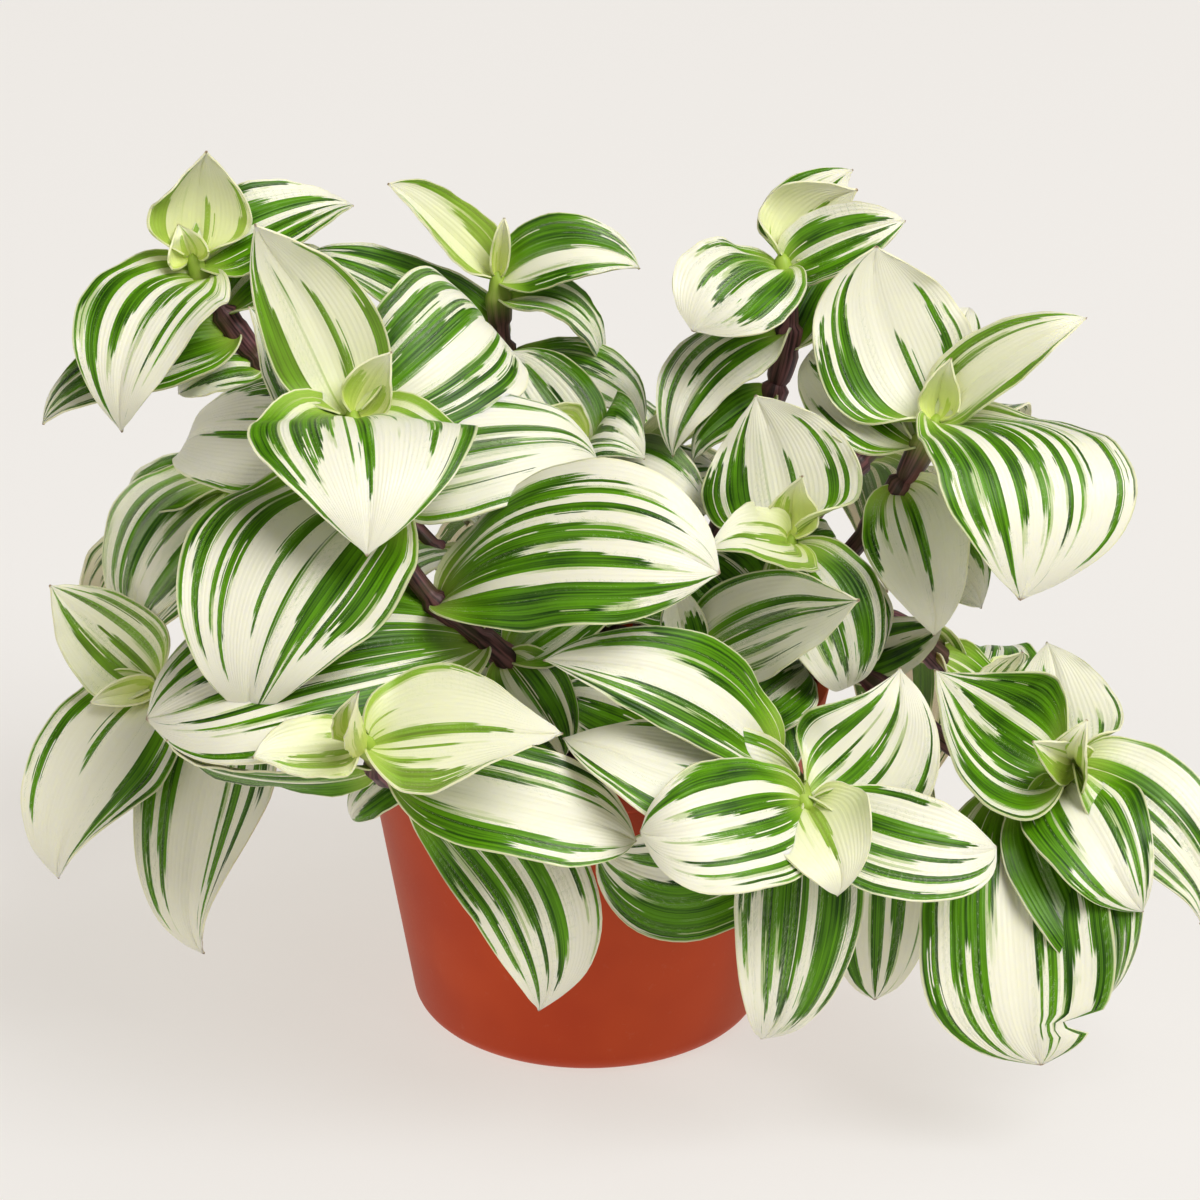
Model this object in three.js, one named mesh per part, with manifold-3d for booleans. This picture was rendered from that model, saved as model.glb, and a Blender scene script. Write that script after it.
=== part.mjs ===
// Potted tradescantia: a bushy house plant with white and green striped leaves
// in a tapered plastic nursery pot. Millimetres, +Z up, origin at the centre of
// the pot's base; the photo looks along +Y and a little down.
import * as THREE from 'three';
import { mergeVertices } from 'three/addons/utils/BufferGeometryUtils.js';
import Module from 'manifold-3d';

const wasm = await Module();
wasm.setup();

// ---- driving dimensions -------------------------------------------------

const POT_HEIGHT = 90;
const POT_BASE_RADIUS = 43.5;
const POT_RIM_RADIUS = 60;
const POT_WALL = 1.6;
const POT_FLOOR = 2.4;
const POT_CORNER = 5;
const POT_SEGMENTS = 36;
const RIM_BAND_HEIGHT = 11;
const RIM_BAND_STEP = 1.6;
const DRAIN_HOLES = 6;
const DRAIN_RADIUS = 3.2;
const DRAIN_SIDES = 12;
const DRAIN_CIRCLE = 27;

const SOIL_TOP = 80;
const SOIL_SEGMENTS = 18;
const SOIL_RINGS = 3;
const SOIL_ROUGHNESS = 1.4;
const GAP = 0.3;

const STEM_RADIUS = 2.9;
const STEM_SIDES = 6;
const STEM_STEPS_PER_SPAN = 1.5;

const LEAF_THICKNESS = 0.7;
const BROAD_LEAF = 35;
const NARROW_LEAF = 16;
const LEAF_ROOT = 1.2;
const LEAF_BELOW_END = 0.15;
const BASE_SHARE = 0.005;
const POINT_POWER = 1;
const ROUND_POWER = 0.55;
const FULL_POINT_POWER = 0.65;
const FULL_ROUND_POWER = 0.8;
const FIRST_HANDLE = 0.28;
const SECOND_HANDLE = 0.75;
const HANDLE_RISE = 1.3;
const CUP_FADE = 0.3;
const LEAST_CUP = 0.1;
const WAVE_SHARE = 0.05;
const WAVES_ALONG = 9;
const WAVES_ACROSS = 2;
const WAVE_PHASE = 4;
const CLASP_LENGTH = 0.2;
const CLASP_ANGLE = 100;
const CLEARANCE = 0.45;
const FLOOR_CLEARANCE = 2;
const FUSE_TOLERANCE = 0.05;

const SEED = 11;

// ---- the leafy shoots ---------------------------------------------------

// Each shoot is a stem through the listed points and its leaves. The leaf
// columns are: place along the stem counted in stem points, tip, the way the
// upper side faces, width, arch toward the face, sideways bend, cupping in
// degrees, fullness of the outer half (0..1), share of green (0..1) and
// youth (0..1). The shoots the photo shows in front come first: the ones
// behind give way to them.
const SHOOTS = {
  "front_left": {
    "stem": [[-4, -26, 72], [-10, -40, 100], [-20, -50, 117], [-34, -52, 130], [-44, -49, 143],
      [-52, -43, 160], [-55, -36, 174]],
    "leaves": [
      [6, [-77, -40, 218], [0.25, -1, 0.15], 29, -6, 4, 35, 0, 0.35, 0.2],
      [5.8, [-23, -4, 188], [0.2, -0.75, 0.65], 38, 9, 3, 5, 0.9, 0.5, 0],
      [5.9, [-49, -82, 156], [0.1, -0.75, 0.65], 53, 14, -1, -10, 0, 0.35, 0],
      [5.3, [-77, -14, 192], [0.6, -0.8, 0.1], 22, -4, 0, 30, 0, 0.7, 0],
      [4.7, [-77, -82, 113], [-0.2, -0.8, 0.5], 54, 17, 5, -5, 0, 0.45, 0],
      [4.9, [5, -30, 162], [0, -0.65, 0.75], 34, 9, 0, -5, 0, 0.35, 0],
      [5.5, [-98, 0, 152], [-0.1, -0.6, 0.8], 34, 8, -4, 5, 0, 0.25, 0],
      [2.3, [-102, -74, 109], [-0.1, -0.65, 0.75], 48, 15, 0, -12, 0.7, 0.6, 0],
      [3.1, [31, -77, 150], [-0.05, -0.7, 0.7], 40, 15, -6, -18, 0.75, 0.55, 0],
      [1.9, [10, -38, 127], [0, -0.5, 0.85], 20, 5, 0, 10, 0, 0.75, 0],
      [6, [-46, -40, 188], [0, -1, 0.1], 16, -2, 0, 80, 0, 0.2, 0.9],
      [1, [-44, -30, 106], [0, -0.5, 0.85], 28, 6, 0, 5, 0.2, 0.8, 0],
      [2, [-4, -60, 95], [0.05, -0.8, 0.55], 20, 5, 0, 10, 0, 0.6, 0]
    ]
  },
  "right": {
    "stem": [[28, -2, 72], [48, -6, 105], [65, -10, 128], [76, -12, 146], [84, -10, 162]],
    "leaves": [
      [4, [68, 4, 199], [0.1, -0.9, 0.4], 39, -5, -3, 20, 0.3, 0.2, 0],
      [4, [118, -14, 187], [-0.2, -0.75, 0.65], 20, 3, -3, 55, 0, 0.3, 0.2],
      [3.9, [102, -52, 131], [0.4, -0.7, 0.6], 51, 20, -5.5, 0, 0.6, 0.45, 0],
      [3.5, [51, 14, 169], [-0.1, -0.6, 0.8], 30, 4, 0, 15, 0, 0.4, 0],
      [2.9, [83, -42, 118], [-0.2, -0.95, 0.2], 27, 7, -3, 5, 0, 0.2, 0],
      [4, [85, -14, 176], [0, -1, 0.1], 13, -2, 0, 80, 0, 0.1, 1],
      [3.4, [93, 22, 180], [0, -0.8, 0.5], 18, 2, 0, 20, 0, 0.2, 0],
      [2.5, [96, -26, 119], [0.3, -0.8, 0.5], 26, 7, 0, 5, 0, 0.6, 0]
    ]
  },
  "low_front": {
    "stem": [[22, -32, 72], [32, -48, 98], [43, -66, 98], [52, -80, 91]],
    "leaves": [
      [3, [73, -66, 119], [-0.1, -0.85, 0.5], 36, -4, 5, 15, 0, 0.3, 0],
      [2.9, [11, -103, 95], [-0.1, -0.75, 0.65], 33, 8, -4, 5, 0.5, 0.4, 0],
      [3, [60, -102, 81], [0.1, -0.9, 0.4], 27, 5, 0, 45, 0, 0.1, 0.5],
      [2.1, [-10, -80, 128], [-0.1, -0.6, 0.8], 28, 10, 5, -5, 0, 0.55, 0],
      [2.6, [-5, -79, 113], [0, -0.65, 0.75], 30, 6, -7, -5, 0, 0.2, 0],
      [2.7, [42, -88, 32], [0, -0.95, 0.3], 30, 7, -3, 0, 0.1, 0.55, 0],
      [2.3, [4, -84, 85], [0, -1, 0], 36, 2, -15, 10, 0.6, 0.6, 0],
      [2.9, [97, -82, 82], [0, -0.75, 0.65], 26, 5, 6, 10, 0.4, 0.35, 0],
      [1, [54, -30, 106], [0.2, -0.5, 0.85], 26, 6, 0, 5, 0.2, 0.75, 0]
    ]
  },
  "low_left_front": {
    "stem": [[-12, -34, 72], [-25, -54, 98], [-44, -79, 100], [-51, -95, 117]],
    "leaves": [
      [3, [-6, -99, 118], [0, -0.6, 0.8], 34, 3, -2, 15, 0, 0.2, 0.3],
      [3, [-75, -101, 117], [0.1, -0.6, 0.8], 18, -2, 0, 35, 0, 0.15, 0.5],
      [2.2, [13, -88, 89], [0.1, -0.7, 0.7], 28, 5, 1, 5, 0.5, 0.35, 0],
      [1.9, [-10, -85, 39], [0.05, -0.95, 0.3], 31, 7, -13, -5, 0.35, 0.5, 0],
      [1.4, [-57, -60, 78], [-0.2, -0.6, 0.7], 15, 4, 0, 10, 0, 0.5, 0],
      [2.4, [-97, -78, 106], [0, -0.8, -0.5], 18, 5, 0, 20, 0, 0.8, 0],
      [3, [-52, -106, 131], [-0.7, -0.6, 0.1], 16, 0, 0, 140, 0, 0.3, 1]
    ]
  },
  "low_right": {
    "stem": [[36, -12, 72], [58, -22, 102], [88, -40, 88], [106, -48, 80], [118, -46, 89]],
    "leaves": [
      [3.6, [85, -50, 113], [0.3, -0.7, 0.6], 43, -3, -4, 55, 0, 0.65, 0],
      [4, [112, -20, 107], [0, -0.85, 0.45], 28, -3, 0, 15, 0, 0.2, 0],
      [4, [150, -62, 52], [0.15, -0.7, 0.7], 28, 9, -4, 5, 0, 0.35, 0],
      [3.5, [130, -76, 61], [0.2, -0.8, 0.5], 30, 7, 2, 10, 0, 0.5, 0],
      [2.7, [104, -88, 26], [0, -0.9, 0.4], 45, 9, 2, 0, 0.8, 0.5, 0],
      [3.1, [124, -80, 42], [0.2, -0.85, 0.4], 32, 7, 0, 10, 0, 0.9, 0],
      [1.5, [70, -50, 23], [-0.1, -0.9, 0.3], 26, 8, 0, 5, 0.6, 0.4, 0],
      [1.1, [86, -22, 112], [0.3, -0.8, 0.4], 16, 3, 0, 20, 0, 0.6, 0],
      [4, [116, -62, 104], [-0.3, -0.9, 0.3], 18, 3, 0, 90, 0, 0.3, 0.9],
      [4, [105, -62, 100], [-0.2, -0.9, 0.4], 14, 2, 0, 70, 0, 0.2, 0.8]
    ]
  },
  "front_centre": {
    "stem": [[10, -34, 72], [18, -38, 98], [26, -40, 113]],
    "leaves": [
      [2, [60, -66, 135], [0.2, -0.8, 0.5], 26, -5, -4, 25, 0, 0.35, 0],
      [1.8, [20, -44, 133], [0.2, -0.9, 0.3], 12, 0, 0, 20, 0, 0.9, 0],
      [0.7, [-11, -52, 109], [0, -0.8, 0.6], 26, 5, 0, 5, 0, 0.85, 0]
    ]
  },
  "centre": {
    "stem": [[18, -18, 72], [34, -21, 104], [44, -24, 124], [49, -25, 137]],
    "leaves": [
      [3, [40, -10, 166], [0, -0.9, 0.4], 40, -4, 2, 15, 0, 0.3, 0],
      [3, [29, -52, 150], [0, -0.65, 0.75], 22, 3, -4, 20, 0, 0.3, 0.4],
      [3, [49, -30, 152], [0, -1, 0.2], 15, -3, 0, 65, 0, 0.15, 1],
      [2.7, [62, -48, 103], [0.4, -0.8, 0.5], 30, 10, 0, 5, 0, 0.5, 0],
      [2.2, [72, -28, 108], [0.3, -0.7, 0.6], 24, 8, 0, 5, 0, 0.7, 0],
      [1, [60, 2, 116], [0.1, -0.2, 0.95], 28, 7, 0, 5, 0.2, 0.7, 0],
      [1.7, [28, -2, 122], [0, -0.8, 0.6], 26, 4, 0, 5, 0.2, 0.85, 0],
      [2.3, [69, 4, 127], [0.1, -0.8, 0.6], 24, 4, 0, 5, 0.2, 0.8, 0],
      [0.9, [50, -46, 83], [0.1, -0.8, 0.6], 22, 4, 0, 5, 0.2, 0.75, 0]
    ]
  },
  "low_left": {
    "stem": [[-28, -12, 72], [-58, -18, 98], [-84, -23, 101], [-107, -25, 96]],
    "leaves": [
      [3, [-128, -25, 123], [0.4, -0.8, 0.3], 26, -3, 0, 30, 0, 0.3, 0.2],
      [2.9, [-129, -46, 54], [-0.2, -0.75, 0.6], 34, 11, 1, 5, 0, 0.15, 0],
      [2, [-97, -52, 36], [-0.3, -0.85, 0.3], 34, 9, 0, 5, 0.1, 0.2, 0],
      [3, [-119, -34, 98], [0.2, -0.8, 0.6], 10, 0, 0, 90, 0, 0.1, 1]
    ]
  },
  "right_back": {
    "stem": [[16, 8, 72], [30, 10, 118], [43, 15, 150], [49, 18, 173], [47, 20, 192]],
    "leaves": [
      [4, [63, 22, 207], [-0.3, -0.9, 0.3], 26, -4, -3, 60, 0, 0.2, 0.6],
      [3.9, [65, 36, 207], [-0.1, -0.85, 0.45], 20, -2, -4, 30, 0, 0.35, 0],
      [3.8, [77, 18, 201], [-0.1, -0.75, 0.65], 19, 5, 0, 20, 0, 0.5, 0],
      [3.8, [26, -4, 180], [-0.2, -0.65, 0.7], 30, 8, 0, 5, 0.7, 0.4, 0],
      [3, [21, -8, 151], [-0.4, -0.65, 0.6], 23, 6, 6, 5, 0, 0.45, 0],
      [2.3, [24, 0, 147], [0, -0.5, 0.85], 12, 3, 0, 10, 0, 0.9, 0],
      [2.7, [62, 42, 182], [-0.3, -0.6, 0.7], 20, 4, 0, 20, 0, 0.85, 0]
    ]
  },
  "back_left": {
    "stem": [[-14, 14, 72], [-28, 24, 98], [-56, 38, 126], [-80, 48, 150], [-92, 51, 166],
      [-99, 50, 181]],
    "leaves": [
      [5, [-95, 50, 206], [0.2, -1, 0.2], 31, -5, 0, 65, 0, 0.25, 0.6],
      [4.8, [-59, 67, 189], [-0.3, -0.7, 0.7], 25, 6, 0, 25, 0, 0.55, 0],
      [4.6, [-115, 14, 147], [-0.3, -0.8, 0.5], 36, 15, 2, 10, 0, 0.3, 0],
      [3.6, [-137, 25, 147], [0.1, -0.5, 0.85], 24, 6, 0, 20, 0, 0.8, 0],
      [3.9, [-62, 66, 172], [-0.3, -0.4, 0.8], 20, 6, 0, 35, 0, 0.7, 0],
      [3.1, [-103, 40, 146], [0, -0.4, 0.9], 22, 5, 0, 20, 0, 0.5, 0],
      [5, [-101, 49, 188], [0, -1, 0.1], 18, 0, 0, 110, 0, 0.1, 1],
      [1.4, [-60, 0, 112], [0, -0.4, 0.9], 30, 7, 0, 5, 0.3, 0.75, 0]
    ]
  },
  "back_centre": {
    "stem": [[-8, 22, 72], [-14, 38, 108], [-20, 52, 140], [-22, 58, 158], [-23, 60, 173]],
    "leaves": [
      [4, [-49, 60, 197], [0.5, -0.6, 0.5], 20, -2, 2, 65, 0, 0.5, 0.5],
      [4, [14, 58, 175], [0, -0.75, 0.65], 20, 7, -4, 15, 0, 0.6, 0],
      [3.5, [4, 52, 149], [0.4, -0.3, 0.85], 18, 11, 0, 10, 0, 0.7, 0],
      [4, [-21, 60, 187], [0, -1, 0.1], 8, 0, 0, 110, 0, 0.1, 1],
      [2.7, [-72, 62, 177], [0, -0.4, 0.9], 24, 6, 0, 10, 0, 0.7, 0],
      [2.4, [17, 40, 138], [0.3, -0.4, 0.85], 22, 10, 0, 10, 0, 0.6, 0]
    ]
  },
  "middle": {
    "stem": [[6, 0, 72], [5, 2, 104], [3, 5, 130], [-1, 7, 147]],
    "leaves": [
      [3, [15, -4, 149], [0.1, -0.5, 0.85], 24, 9, 0, 5, 0, 0.35, 0],
      [2.6, [30, -20, 139], [0.1, -0.5, 0.85], 24, 8, 0, 10, 0, 0.25, 0],
      [2.9, [-20, 24, 166], [0, -0.6, 0.8], 24, 3, 0, 15, 0, 0.35, 0],
      [3, [-17, -4, 152], [0.1, -0.6, 0.8], 24, 2, 0, 80, 0, 0.5, 0.8],
      [2.2, [35, 20, 134], [0.1, -0.3, 0.9], 22, 7, 0, 10, 0, 0.6, 0],
      [0.8, [-28, -26, 104], [0, -0.4, 0.9], 30, 7, 0, 5, 0.3, 0.8, 0],
      [1.1, [36, -22, 114], [0.1, -0.4, 0.9], 28, 6, 0, 5, 0.3, 0.75, 0],
      [1.4, [-32, 26, 120], [0, 0, 1], 28, 8, 0, 5, 0.2, 0.7, 0],
      [1.6, [30, 44, 116], [0.1, 0.3, 0.9], 28, 8, 0, 5, 0.2, 0.7, 0]
    ]
  },
  "left": {
    "stem": [[-30, 6, 72], [-56, 6, 110], [-76, 5, 130], [-90, 3, 139]],
    "leaves": [
      [3, [-111, -12, 105], [-0.4, -0.8, 0.3], 32, 9, 3, 10, 0, 0.4, 0],
      [2.8, [-116, 18, 120], [-0.2, -0.3, 0.9], 24, 8, 0, 10, 0, 0.85, 0]
    ]
  },
  "back_mid": {
    "stem": [[12, 24, 72], [16, 46, 103], [19, 64, 115], [20, 76, 118]],
    "leaves": [
      [3, [32, 66, 134], [-0.2, 0.5, 0.8], 26, 2, 0, 30, 0, 0.35, 0.3],
      [3, [-8, 96, 128], [0.1, 0.4, 0.9], 30, 7, 0, 15, 0, 0.4, 0],
      [2.9, [44, 112, 100], [0.1, 0.6, 0.8], 38, 12, 0, 5, 0, 0.45, 0],
      [2.5, [8, 118, 70], [0, 0.9, 0.4], 38, 14, 0, 0, 0, 0.5, 0],
      [1.9, [-26, 70, 124], [0, 0.3, 0.95], 26, 7, 0, 10, 0, 0.6, 0],
      [3, [22, 84, 132], [0, 1, 0.1], 12, 0, 0, 90, 0, 0.2, 1]
    ]
  },
  "back_right": {
    "stem": [[26, 18, 72], [48, 34, 104], [66, 50, 122], [80, 60, 130]],
    "leaves": [
      [3, [78, 50, 152], [0.1, 0.9, 0.3], 28, -2, 0, 30, 0, 0.3, 0.2],
      [3, [112, 36, 138], [0.2, 0.3, 0.9], 28, 7, 0, 15, 0, 0.4, 0],
      [3, [112, 92, 112], [0.4, 0.5, 0.8], 38, 12, 0, 5, 0, 0.45, 0],
      [2.8, [66, 104, 124], [0, 0.5, 0.85], 32, 9, 0, 5, 0, 0.4, 0],
      [2.2, [78, 92, 72], [0.3, 0.9, 0.4], 34, 12, 0, 0, 0, 0.5, 0],
      [3, [84, 66, 144], [0, 1, 0.1], 12, 0, 0, 90, 0, 0.2, 1]
    ]
  },
  "back_low_right": {
    "stem": [[34, 8, 72], [58, 15, 101], [82, 25, 88], [100, 32, 64]],
    "leaves": [
      [3, [110, 26, 84], [-0.3, 0.4, 0.9], 26, -2, 0, 30, 0, 0.3, 0.2],
      [3, [134, 44, 40], [0.6, 0.4, 0.7], 34, 11, 0, 5, 0, 0.3, 0],
      [2.8, [104, 76, 56], [0.2, 0.7, 0.7], 34, 9, 0, 5, 0, 0.5, 0],
      [2.3, [120, 8, 34], [0.7, -0.2, 0.7], 30, 9, 0, 5, 0, 0.5, 0],
      [1.9, [84, 62, 22], [0.3, 0.9, 0.4], 34, 10, 0, 0, 0, 0.45, 0],
      [3, [110, 38, 76], [0.2, 0.8, 0.6], 11, 0, 0, 90, 0, 0.2, 1]
    ]
  },
  "back_low_left": {
    "stem": [[-24, 18, 72], [-46, 36, 99], [-74, 58, 103], [-94, 68, 96]],
    "leaves": [
      [3, [-112, 60, 118], [0.3, 0.5, 0.8], 26, -2, 0, 30, 0, 0.3, 0.2],
      [3, [-134, 84, 66], [-0.5, 0.5, 0.7], 34, 11, 0, 5, 0, 0.3, 0],
      [2.8, [-78, 118, 84], [0, 0.7, 0.7], 36, 10, 0, 5, 0, 0.5, 0],
      [2.3, [-122, 44, 58], [-0.8, -0.1, 0.6], 30, 9, 0, 5, 0, 0.5, 0],
      [1.8, [-64, 92, 42], [-0.3, 0.9, 0.4], 36, 11, 0, 0, 0, 0.45, 0],
      [1.4, [-28, 70, 110], [0.1, 0.5, 0.85], 26, 7, 0, 5, 0, 0.55, 0],
      [3, [-102, 78, 108], [0, 1, 0.3], 11, 0, 0, 90, 0, 0.2, 1]
    ]
  },
  "back_low": {
    "stem": [[0, 38, 72], [-4, 54, 98], [-9, 82, 96], [-14, 100, 84]],
    "leaves": [
      [3, [-2, 112, 112], [0.1, -0.2, 0.9], 24, -2, 0, 30, 0, 0.3, 0.2],
      [3, [-38, 122, 56], [-0.3, 0.7, 0.6], 32, 10, 0, 5, 0, 0.3, 0],
      [2.7, [34, 118, 58], [0.3, 0.7, 0.6], 36, 11, 0, 5, 0, 0.45, 0],
      [2.2, [-6, 106, 28], [0, 0.95, 0.3], 36, 10, 0, 0, 0, 0.5, 0],
      [1.8, [36, 84, 60], [0.3, 0.9, 0.4], 30, 9, 0, 0, 0, 0.5, 0],
      [3, [-20, 110, 94], [0, 1, 0.4], 11, 0, 0, 90, 0, 0.2, 1]
    ]
  }
};

// Leaves that would cross another shoot give way a little: the tip moves along
// the photo's line of sight, the blade rolls about its midrib, the arch
// flattens or grows, and at the last the leaf is smaller.
const SIGHT = new THREE.Vector3(0, 0.914, -0.407);
const TIP_SHIFTS = [0, 4, -4, 8, -8, 12, -12, 17, 22];
const ROLLS = [0, 14, -14, 28, -28];
const ARCH_SHIFTS = [0, 4, -4];
const SIZES = [1, 0.85, 0.7];

// ---- small helpers ------------------------------------------------------

function seededRandom(seed) {
  let state = seed;
  return () => {
    state = (state * 16807) % 2147483647;
    return state / 2147483647;
  };
}

const vector = (values) => new THREE.Vector3(values[0], values[1], values[2]);

// A closed solid from any closed geometry.
function solidOf(geometry) {
  const bare = geometry.clone();
  bare.deleteAttribute('normal');
  bare.deleteAttribute('uv');
  const merged = mergeVertices(bare, 1e-4);
  return new wasm.Manifold(
    new wasm.Mesh({
      numProp: 3,
      vertProperties: new Float32Array(merged.attributes.position.array),
      triVerts: new Uint32Array(merged.index.array),
    }),
  );
}

function geometryOf(solid) {
  const mesh = solid.getMesh();
  const geometry = new THREE.BufferGeometry();
  geometry.setAttribute('position', new THREE.BufferAttribute(new Float32Array(mesh.vertProperties), 3));
  geometry.setIndex(new THREE.BufferAttribute(new Uint32Array(mesh.triVerts), 1));
  geometry.computeVertexNormals();
  return geometry;
}

// The outer skin of the largest piece: fused leaves can seal a hollow between
// them or leave a loose scrap, and neither is part of a living shoot.
function largestPiece(solid) {
  const pieces = solid.decompose();
  pieces.sort((a, b) => b.volume() - a.volume());
  return pieces[0];
}

function onePiece(solid) {
  return largestPiece(largestPiece(solid).simplify(FUSE_TOLERANCE));
}

// ---- stems --------------------------------------------------------------

function stemCurve(shoot) {
  return new THREE.CatmullRomCurve3(shoot.stem.map(vector), false, 'catmullrom', 0.5);
}

function stemPoint(shoot, at) {
  return stemCurve(shoot).getPoint(at / (shoot.stem.length - 1));
}

function circleShape(radius, sides) {
  const shape = new THREE.Shape();
  for (let i = 0; i < sides; i += 1) {
    const angle = (2 * Math.PI * i) / sides;
    const x = radius * Math.cos(angle);
    const y = radius * Math.sin(angle);
    if (i === 0) shape.moveTo(x, y);
    else shape.lineTo(x, y);
  }
  shape.closePath();
  return shape;
}

function stemSolid(shoot, radius) {
  const geometry = new THREE.ExtrudeGeometry(circleShape(radius, STEM_SIDES), {
    steps: Math.ceil((shoot.stem.length - 1) * STEM_STEPS_PER_SPAN),
    bevelEnabled: false,
    extrudePath: stemCurve(shoot),
  });
  return solidOf(geometry);
}

// The plain hole that a stem stands in: the stem's own path, a gap wider and
// reaching a gap deeper.
function stemHole(shoot) {
  const root = vector(shoot.stem[0]);
  const next = stemPoint(shoot, 0.05);
  const deeper = root.clone().add(root.clone().sub(next).normalize().multiplyScalar(GAP));
  const path = [deeper.toArray(), ...shoot.stem.slice(0, 3)];
  return stemSolid({ stem: path }, STEM_RADIUS + 2 * GAP);
}

// ---- leaves -------------------------------------------------------------

// Half width along the leaf as a share of its greatest half width: clasping
// base, broad lower third (or a fuller outer half), long point.
function outline(u, full) {
  const point = THREE.MathUtils.lerp(POINT_POWER, FULL_POINT_POWER, full);
  const round = THREE.MathUtils.lerp(ROUND_POWER, FULL_ROUND_POWER, full);
  const shape = (t) => (1 - t) ** point * (t + BASE_SHARE) ** round;
  let widest = 0;
  for (let t = 0; t <= 1; t += 0.02) widest = Math.max(widest, shape(t));
  return shape(u) / widest;
}

function leafOf(row) {
  const [at, tip, face, width, arch, bend, cup, full, green] = row;
  return { at, tip, face, width, arch, bend, cup, full, green };
}

// The midrib is a cubic curve from the stem to the tip; frames along it carry
// the cross sections.
function leafMidrib(shoot, leaf, pose) {
  const last = shoot.stem.length - 1;
  const axis = stemPoint(shoot, Math.min(leaf.at, last - LEAF_BELOW_END));
  const far = vector(leaf.tip).addScaledVector(SIGHT, pose.shift);
  const tip = axis.clone().lerp(far, pose.size);
  const along = tip.clone().sub(axis).normalize();
  const base = axis.clone().addScaledVector(along, LEAF_ROOT);
  const chord = tip.clone().sub(base);
  const face = vector(leaf.face).normalize();
  const up = face.addScaledVector(along, -face.dot(along)).normalize();
  const side = along.clone().cross(up);
  const roll = THREE.MathUtils.degToRad(pose.roll);
  const facing = up.clone().multiplyScalar(Math.cos(roll)).addScaledVector(side, Math.sin(roll));
  const across = along.clone().cross(facing);
  const rise = up.multiplyScalar(HANDLE_RISE * (leaf.arch + pose.arch) * pose.size);
  rise.addScaledVector(side, HANDLE_RISE * leaf.bend * pose.size);
  const first = base.clone().addScaledVector(chord, FIRST_HANDLE).add(rise);
  const second = base.clone().addScaledVector(chord, SECOND_HANDLE).add(rise);
  return { curve: new THREE.CubicBezierCurve3(base, first, second, tip), across };
}

// Points of the blade's middle surface with their normals, row by row from the
// base to the tip, column by column from one margin to the other.
function leafSurface(shoot, leaf, pose, rows, columns) {
  const { curve, across } = leafMidrib(shoot, leaf, pose);
  const points = [];
  for (let i = 0; i <= rows; i += 1) {
    const u = i / rows;
    const middle = curve.getPoint(u);
    const tangent = curve.getTangent(u);
    const normal = across.clone().cross(tangent).normalize();
    const side = tangent.clone().cross(normal);
    const halfWidth = (leaf.width / 2) * outline(u, leaf.full) * pose.size;
    const clasp = Math.max(0, 1 - u / CLASP_LENGTH) ** 2;
    const degrees = leaf.cup * (1 - CUP_FADE * u) * (1 - clasp) + CLASP_ANGLE * clasp;
    const cup = THREE.MathUtils.degToRad(Math.abs(degrees) < LEAST_CUP ? LEAST_CUP : degrees);
    for (let j = 0; j <= columns; j += 1) {
      const v = (2 * j) / columns - 1;
      const swing = Math.sin(WAVES_ALONG * u + WAVES_ACROSS * v + WAVE_PHASE * leaf.at);
      const wave = WAVE_SHARE * halfWidth * swing * v * v;
      const out = (halfWidth * Math.sin(cup * v)) / cup;
      const lift = (halfWidth * (1 - Math.cos(cup * v))) / cup + wave;
      const turned = normal.clone().multiplyScalar(Math.cos(cup * v));
      turned.addScaledVector(side, -Math.sin(cup * v));
      const point = middle.clone().addScaledVector(side, out).addScaledVector(normal, lift);
      points.push({ point, normal: turned });
    }
  }
  return points;
}

// How many cells a blade is divided into: broad leaves get the finer grid.
function leafGrid(leaf) {
  if (leaf.width >= BROAD_LEAF) return { rows: 5, columns: 4 };
  if (leaf.width > NARROW_LEAF) return { rows: 5, columns: 2 };
  return { rows: 3, columns: 2 };
}

// A blade as a closed sheet: the upper and the lower face are split alike, and
// a wall runs round the margin. The last row is drawn together at the tip.
function leafSolid(shoot, leaf, pose) {
  const { rows, columns } = leafGrid(leaf);
  const surface = leafSurface(shoot, leaf, pose, rows, columns);
  const positions = [];
  for (const half of [LEAF_THICKNESS / 2, -LEAF_THICKNESS / 2]) {
    for (const { point, normal } of surface.slice(0, rows * (columns + 1))) {
      positions.push(...point.clone().addScaledVector(normal, half).toArray());
    }
    const tip = surface[rows * (columns + 1) + columns / 2];
    positions.push(...tip.point.clone().addScaledVector(tip.normal, half).toArray());
  }
  const layer = rows * (columns + 1) + 1;
  const index = (i, j) => (i === rows ? layer - 1 : i * (columns + 1) + j);
  const faces = [];
  const addFace = (a, b, c) => {
    if (a !== b && b !== c && c !== a) faces.push(a, b, c);
  };
  const addSheet = (a, b, c) => {
    addFace(a, b, c);
    addFace(c + layer, b + layer, a + layer);
  };
  for (let i = 0; i < rows; i += 1) {
    for (let j = 0; j < columns; j += 1) {
      addSheet(index(i, j), index(i, j + 1), index(i + 1, j + 1));
      addSheet(index(i, j), index(i + 1, j + 1), index(i + 1, j));
    }
  }
  const rim = [];
  for (let i = 0; i < rows; i += 1) rim.push(index(i, columns));
  rim.push(layer - 1);
  for (let i = rows - 1; i >= 0; i -= 1) rim.push(index(i, 0));
  for (let j = 1; j < columns; j += 1) rim.push(index(0, j));
  rim.forEach((from, k) => {
    const to = rim[(k + 1) % rim.length];
    addFace(to, from, from + layer);
    addFace(to, from + layer, to + layer);
  });
  const geometry = new THREE.BufferGeometry();
  geometry.setAttribute('position', new THREE.BufferAttribute(new Float32Array(positions), 3));
  geometry.setIndex(faces);
  return solidOf(geometry);
}

// ---- clearing one shoot from another ------------------------------------

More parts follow.
